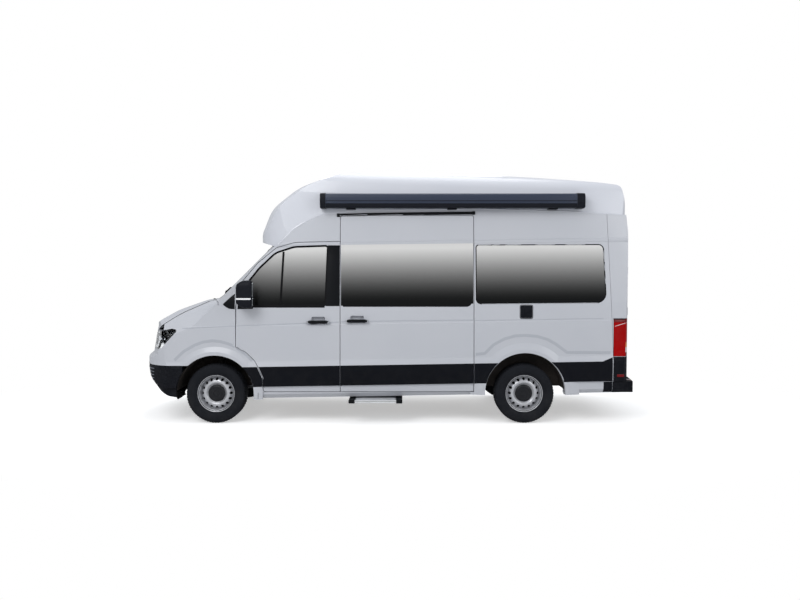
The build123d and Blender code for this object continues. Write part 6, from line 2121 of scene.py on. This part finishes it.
@dataclass
class LivingSpace:
    """The furniture inside: bench, mattresses, cabinet fronts, worktop, sink and hob."""

    # The kitchen's fronts: name, lower and upper edge, and the height of the pull
    kitchen_fronts: tuple[tuple[str, float, float, float], ...] = (("drawer", 1.36, 1.545, 1.452),
                                                                    ("door", 0.70, 1.35, 1.27))
    # The sink's rings, from its lip down: height, length and width
    sink_rings: tuple[Triple, ...] = ((1.588, 0.36, 0.32), (1.591, 0.355, 0.315), (1.590, 0.33, 0.29),
                                      (1.578, 0.32, 0.28))
    # The tap's path: y and height
    tap_path: tuple[Pair, ...] = ((-0.80, 1.586), (-0.80, 1.70), (-0.785, 1.735), (-0.75, 1.75),
                                  (-0.69, 1.74), (-0.67, 1.715))
    # A burner's rings: radius and height
    burner_rings: tuple[Pair, ...] = ((0.075, 0.0), (0.075, 0.004), (0.060, 0.006), (0.034, 0.006),
                                      (0.032, 0.014), (0.004, 0.015))

    def block(self, name: str, low: Triple, high: Triple, finish: Finish,
              radius: float = 0.003) -> bpy.types.Object:
        """A panel or block with rounded edges."""
        return softened(Shape().slab(low, high).piece(name, "chassis", finish), radius)

    def build_bench(self) -> None:
        """The bench: a boarded box with two cushions."""
        box = self.block("bench_box", (at(1722), 0.242, 0.6405), (at(2378), 0.838, 0.955), LIGHT_BOARD)
        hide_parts("bench_seat")
        self.block("bench_back_board", (at(2352), 0.244, 0.95), (at(2378), 0.818, 1.630), LIGHT_BOARD)
        for name, y in (("near", 0.388), ("far", 0.690)):
            Cushion(f"bench_cushion_{name}", ((at(1730), 1.006, 0.050), (at(2020), 1.010, 0.056),
                                              (at(2270), 1.006, 0.050)), 0.146, "chassis", SEAT_CLOTH,
                    (0.5,), middle_y=y).build()
            Cushion(f"bench_back_{name}", ((at(2308), 1.070, 0.042), (at(2308), 1.34, 0.048),
                                           (at(2308), 1.625, 0.040)), 0.140, "chassis", SEAT_CLOTH, (0.5,),
                    middle_y=y).build()
        self.block("bench_door", (at(1714), 0.30, 0.68), (at(1722), 0.78, 0.92), LIGHT_BOARD)

    def build_bed(self) -> None:
        """Two mattress halves with sewn channels, and the bed's edge board."""
        for name, y in (("left", -0.4215), ("right", 0.4215)):
            pad = Cushion(f"mattress_{name}", ((at(3584), 1.2255, 0.0655), (at(4120), 1.2255, 0.0655),
                                               (at(4666), 1.2255, 0.0655)), 0.417, "chassis", BED_CLOTH,
                          (0.14, 0.26, 0.38, 0.5, 0.62, 0.74, 0.86), crown=0.04, squareness=6.0, rows=70,
                          middle_y=y).build()
            if name == "left":
                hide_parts("mattress")
        self.block("bed_edge_board", (at(3548), -0.80, 1.060), (at(3560), 0.80, 1.20), LIGHT_BOARD)

    def pull(self, name: str, start: Pair, end: Pair, face: float, bar: float) -> None:
        """A bar handle that leaves the face, runs along it and comes back.

        Args:
            name: its name.
            start: x and z where it leaves the face.
            end: x and z where it comes back.
            face: the face's y.
            bar: the bar's y.
        """
        (x0, z0), (x1, z1) = start, end
        path = [(x0, face, z0), (x0, bar, z0), (x1, bar, z1), (x1, face, z1)]
        Shape().tube(path, 0.004, 8).piece(name, "chassis", STEEL_TRIM, 60)

    def build_burner(self, number: int, x: float) -> None:
        """One burner of the hob.

        Args:
            number: its number.
            x: its centre.
        """
        y, worktop_top = -0.63, 1.586

        def place(r: float, angle: float, h: float) -> Triple:
            """A point of the burner."""
            return (x + r * cos(angle), y + r * sin(angle), worktop_top + h)

        burner = Shape().turned(self.burner_rings, place, 32, caps=True)
        burner.piece(f"burner_{number}", "chassis", CAST_METAL, 50)

    def build_kitchen(self) -> None:
        """Worktop, doors, drawers, sink, tap and hob."""
        back, face, bar = -0.420, -0.403, -0.385
        pull_half = 0.05
        self.block("worktop", (at(2290), -0.856, 1.560), (at(3160), -0.405, 1.586), WORKTOP, 0.005)
        for k, (x0, x1) in enumerate(((2310, 2580), (2590, 2860), (2870, 3140))):
            for name, z0, z1, _ in self.kitchen_fronts:
                self.block(f"kitchen_{name}_{k + 1}", (at(x0), back, z0), (at(x1), face, z1), LIGHT_BOARD)
            middle = at((x0 + x1) / 2)
            for name, _, _, z in self.kitchen_fronts:
                self.pull(f"kitchen_pull_{name}_{k + 1}", (middle - pull_half, z), (middle + pull_half, z),
                          face - 0.001, bar)
        sink_x, sink_y = at(2520), -0.62
        rings = [[(sink_x + p.x, sink_y + p.y, z) for p in rounded_box_loop(w, d, min(w, d) * 0.2, 6)]
                 for z, w, d in self.sink_rings]
        Shape().loft(rings).piece("sink", "chassis", STEEL_TRIM, 50)
        tap = [(sink_x, y, z) for y, z in self.tap_path]
        Shape().tube(tap, 0.009, 12).piece("tap", "chassis", STEEL_TRIM, 60)
        for k, distance in enumerate((2860, 3040)):
            self.build_burner(k + 1, at(distance))

    def build_wardrobe(self) -> None:
        """Doors and pulls on the tall cupboard."""
        face, back, bar = 0.243, 0.260, 0.225
        pull_half, pull_inset = 0.06, 30
        for k, (z0, z1) in enumerate(((0.68, 1.46), (1.475, 2.27))):
            middle = (z0 + z1) / 2
            for side, x0, x1 in (("front", 2415, 2820), ("rear", 2830, 3235)):
                self.block(f"wardrobe_door_{side}_{k + 1}", (at(x0), face, z0), (at(x1), back, z1),
                           LIGHT_BOARD)
                x = at(x1 - pull_inset) if side == "front" else at(x0 + pull_inset)
                self.pull(f"wardrobe_pull_{side}_{k + 1}", (x, middle - pull_half), (x, middle + pull_half),
                          face + 0.001, bar)

    def build(self) -> None:
        """Build the living space."""
        self.build_bench()
        self.build_bed()
        self.build_kitchen()
        self.build_wardrobe()
        log.info("living space")


@dataclass
class Dashboard:
    """Round vents, the middle screen, the glove box lid and the hood over the dials."""

    vent_height: float = 1.262

    def build_vent(self, skin: Skin, number: int, y: float) -> None:
        """A round air vent: a bright ring with five slats across it.

        Args:
            skin: the dashboard's surface.
            number: its number.
            y: its centre.
        """
        slat_count, slat_reach, opening_radius = 5, 0.024, 0.034
        # The ring's section: radius and depth
        ring = [(0.040, 0.0), (0.044, 0.005), (0.040, 0.009), (0.035, 0.005)]
        # A slat's section: depth and height
        slat = ((0.002, -0.002), (0.007, -0.001), (0.007, 0.001), (0.002, 0.002))
        spot = skin.drop(Fall.FORWARD, Side.LEFT, y, self.vent_height, 0.0)
        if spot is None:
            return

        def place(r: float, angle: float, h: float) -> Triple:
            """A point of the vent, which faces the seats."""
            return (spot[0] + h, spot[1] + r * cos(angle), spot[2] + r * sin(angle))

        Shape().turned(ring, place, 32, loop=True).piece(f"vent_ring_{number}", "chassis", STEEL_TRIM, 60)
        slats = Shape()
        for k in range(slat_count):
            z = spot[2] + mix(-slat_reach, slat_reach, k / (slat_count - 1))
            half = (opening_radius ** 2 - (z - spot[2]) ** 2) ** 0.5
            slats.loft([[(spot[0] + dx, end, z + dz) for dx, dz in slat] for end in (y - half, y + half)])
        slats.piece(f"vent_slats_{number}", "chassis", BLACK_PLASTIC)

    def build(self) -> None:
        """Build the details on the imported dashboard."""
        skin = Skin("dashboard")
        for k, y in enumerate((-0.72, -0.16, 0.16, 0.74)):
            self.build_vent(skin, k + 1, y)
        panel = [[Vector((y, z)) for y in even(-0.105, 0.105, 8)]
                 for z in (1.115, 1.115, 1.120, 1.205, 1.210, 1.210)]
        skin.lay("centre_screen", Fall.FORWARD, Side.LEFT, panel, raised(0.004, 0.007),
                 "chassis", BLACK_PLASTIC)
        lid = [[Vector((y, z)) for y in even(-0.74, -0.28, 8)]
               for z in (1.06, 1.06, 1.065, 1.19, 1.195, 1.195)]
        skin.lay("glove_box_lid", Fall.FORWARD, Side.LEFT, lid, raised(0.002, 0.004),
                 "chassis", ANTHRACITE_DARK)
        half_turn, steps = 1.35, 12
        wheel_y, hood_z, hood_half, hood_rise = 0.43, 1.300, 0.15, 0.075
        # The hood's section: how far back, and how far each corner grows from the arc
        section = ((0.0, 0.0), (0.15, 0.0), (0.15, -0.010), (0.0, -0.010))
        hood = []
        for k in range(steps + 1):
            angle = mix(-half_turn, half_turn, k / steps)
            y, z = wheel_y + hood_half * sin(angle), hood_z + hood_rise * cos(angle)
            hood.append([(at(250) + dx, y + grow * sin(angle), z + grow * cos(angle))
                         for dx, grow in section])
        Shape().loft(hood).piece("dial_hood", "chassis", DARK_PLASTIC, 50)
        log.info("dashboard")


@dataclass
class Underbody:
    """Coil springs at the front and dampers at the rear."""

    def build(self) -> None:
        """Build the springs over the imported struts, and the dampers behind the rear axle."""
        turns, steps, coil_radius, wire = 5.5, 132, 0.068, 0.0065
        strut_y, coil_low, coil_high = 0.710, 0.550, 0.770
        damper_y, damper_radius = 0.46, 0.022
        # The damper's path: x and height
        damper_path = ((1.50, 0.58), (1.53, 0.50), (1.56, 0.42), (1.585, 0.36))
        for side in Side:
            s = side.value
            coil = [(FRONT_AXLE + coil_radius * cos(2 * pi * t), s * strut_y + coil_radius * sin(2 * pi * t),
                     mix(coil_low, coil_high, t / turns))
                    for t in (turns * k / steps for k in range(steps + 1))]
            Shape().tube(coil, wire, 8).piece(f"coil_spring_{side.word}", "chassis", CHASSIS_BLACK, 60)
            shaft = [(x, s * damper_y, z) for x, z in damper_path]
            damper = Shape().tube(shaft, damper_radius, 16)
            damper.piece(f"rear_damper_{side.word}", "chassis", CHASSIS_BLACK, 60)
        log.info("underbody")


@dataclass
class Studio:
    """The pale studio: floor, world, lamps and camera."""

    camera_place: Triple = (0.174, -9.50, 1.800)
    pitch: float = -2.30
    lens: float = 32.76
    floor_size: float = 30.0
    lamps: tuple[tuple[str, Triple, Triple, float, float], ...] = (
        ("key_lamp", (-3.5, -7.5, 6.5), (0.0, 0.0, 1.2), 5.0, 330.0),
        ("fill_lamp", (6.0, -6.0, 4.0), (0.5, 0.0, 1.2), 4.0, 110.0),
        ("top_lamp", (0.0, 0.5, 7.5), (0.0, 0.0, 1.0), 6.0, 200.0),
        ("back_lamp", (0.5, 8.0, 5.0), (0.0, 0.0, 1.2), 5.0, 150.0))
    world_strength: float = 0.55
    floor_glow: float = 0.45
    shadow_reach: Pair = (4.6, 3.0)

    def build_floor(self) -> None:
        """A white floor that keeps the van's soft shadow."""
        size = self.floor_size
        rows = 12
        verts = [(mix(-size, size, i / rows), mix(-size, size, j / rows), 0.0)
                 for j in range(rows + 1) for i in range(rows + 1)]
        faces = [(j * (rows + 1) + i, j * (rows + 1) + i + 1, (j + 1) * (rows + 1) + i + 1,
                  (j + 1) * (rows + 1) + i)
                 for j in range(rows) for i in range(rows)]
        mesh = bpy.data.meshes.new("studio_floor")
        mesh.from_pydata(verts, [], faces)
        floor = bpy.data.objects.new("studio_floor", mesh)
        bpy.context.scene.collection.objects.link(floor)
        material = bpy.data.materials.new("StudioFloor")
        material.use_nodes = True
        tree = material.node_tree
        tree.nodes.clear()
        path = node(tree, "ShaderNodeLightPath")
        place = node(tree, "ShaderNodeNewGeometry")
        apart = node(tree, "ShaderNodeSeparateXYZ", {0: place.outputs["Position"]})
        along = maths(tree, "POWER", maths(tree, "MULTIPLY", apart.outputs[0], 1 / self.shadow_reach[0]),
                      2.0)
        across = maths(tree, "POWER", maths(tree, "MULTIPLY", apart.outputs[1], 1 / self.shadow_reach[1]),
                       2.0)
        away = ramped(tree, maths(tree, "SQRT", maths(tree, "ADD", along, across)), 0.70, 1.30)
        matt = node(tree, "ShaderNodeBsdfDiffuse", {"Color": (0.92, 0.92, 0.92)})
        glow = node(tree, "ShaderNodeEmission", {"Color": (1.0, 1.0, 1.0), "Strength": self.floor_glow})
        near = node(tree, "ShaderNodeAddShader", {0: matt.outputs[0], 1: glow.outputs[0]})
        white = node(tree, "ShaderNodeEmission", {"Color": (1.0, 1.0, 1.0), "Strength": 1.0})
        shown = node(tree, "ShaderNodeMixShader", {0: away, 1: near.outputs[0], 2: white.outputs[0]})
        seen = maths(tree, "MAXIMUM", path.outputs["Is Camera Ray"], path.outputs["Is Transmission Ray"])
        plain = node(tree, "ShaderNodeBsdfDiffuse", {"Color": (0.72, 0.72, 0.72)})
        chosen = node(tree, "ShaderNodeMixShader", {0: seen, 1: plain.outputs[0], 2: shown.outputs[0]})
        out = node(tree, "ShaderNodeOutputMaterial")
        tree.links.new(chosen.outputs[0], out.inputs["Surface"])
        mesh.materials.append(material)

    def build_world(self) -> None:
        """An even world that the camera sees as white."""
        world = bpy.data.worlds.new("Studio")
        bpy.context.scene.world = world
        world.use_nodes = True
        tree = world.node_tree
        tree.nodes.clear()
        path = node(tree, "ShaderNodeLightPath")
        seen = maths(tree, "MAXIMUM", path.outputs["Is Camera Ray"], path.outputs["Is Transmission Ray"])
        lit = node(tree, "ShaderNodeBackground",
                   {"Color": (0.93, 0.96, 1.0), "Strength": self.world_strength})
        white = node(tree, "ShaderNodeBackground", {"Color": (1.0, 1.0, 1.0), "Strength": 1.0})
        chosen = node(tree, "ShaderNodeMixShader", {0: seen, 1: lit.outputs[0], 2: white.outputs[0]})
        out = node(tree, "ShaderNodeOutputWorld")
        tree.links.new(chosen.outputs[0], out.inputs["Surface"])

    def build_lamps(self) -> None:
        """Large soft lamps around the van."""
        for name, place, target, size, power in self.lamps:
            lamp = bpy.data.lights.new(name, "AREA")
            lamp.shape = "DISK"
            lamp.size = size
            lamp.energy = power
            holder = bpy.data.objects.new(name, lamp)
            holder.location = place
            holder.rotation_euler = (Vector(target) - Vector(place)).to_track_quat("-Z", "Y").to_euler()
            bpy.context.scene.collection.objects.link(holder)

    def build_camera(self) -> None:
        """The camera, where the photographer stood."""
        data = bpy.data.cameras.new("camera")
        data.lens = self.lens
        data.sensor_width = 36.0
        data.clip_end = 200.0
        camera = bpy.data.objects.new("camera", data)
        camera.location = self.camera_place
        camera.rotation_euler = (radians(90 + self.pitch), 0.0, 0.0)
        bpy.context.scene.collection.objects.link(camera)
        bpy.context.scene.camera = camera
        bpy.context.scene.view_settings.view_transform = "Standard"

    def build(self) -> None:
        """Build the studio."""
        self.build_floor()
        self.build_world()
        self.build_lamps()
        self.build_camera()
        log.info("studio")


def main() -> None:
    """Dress the van and light it."""
    logging.basicConfig(level=logging.INFO, format="%(name)s %(message)s")
    Effects.build()
    CarriedNodes().build()
    for axle, x in (("front", FRONT_AXLE), ("rear", FRONT_AXLE + WHEELBASE)):
        for side in Side:
            Wheel(axle, side, x).build()
    for side in Side:
        BodySide(side).build()
        Mirror(side).build()
        CabSeat(side).build()
    Awning().build()
    FrontEnd().build()
    RearEnd().build()
    EntranceStep().build()
    LivingSpace().build()
    Dashboard().build()
    Underbody().build()
    Studio().build()
    log.info("done")


if __name__ == "__main__":
    main()
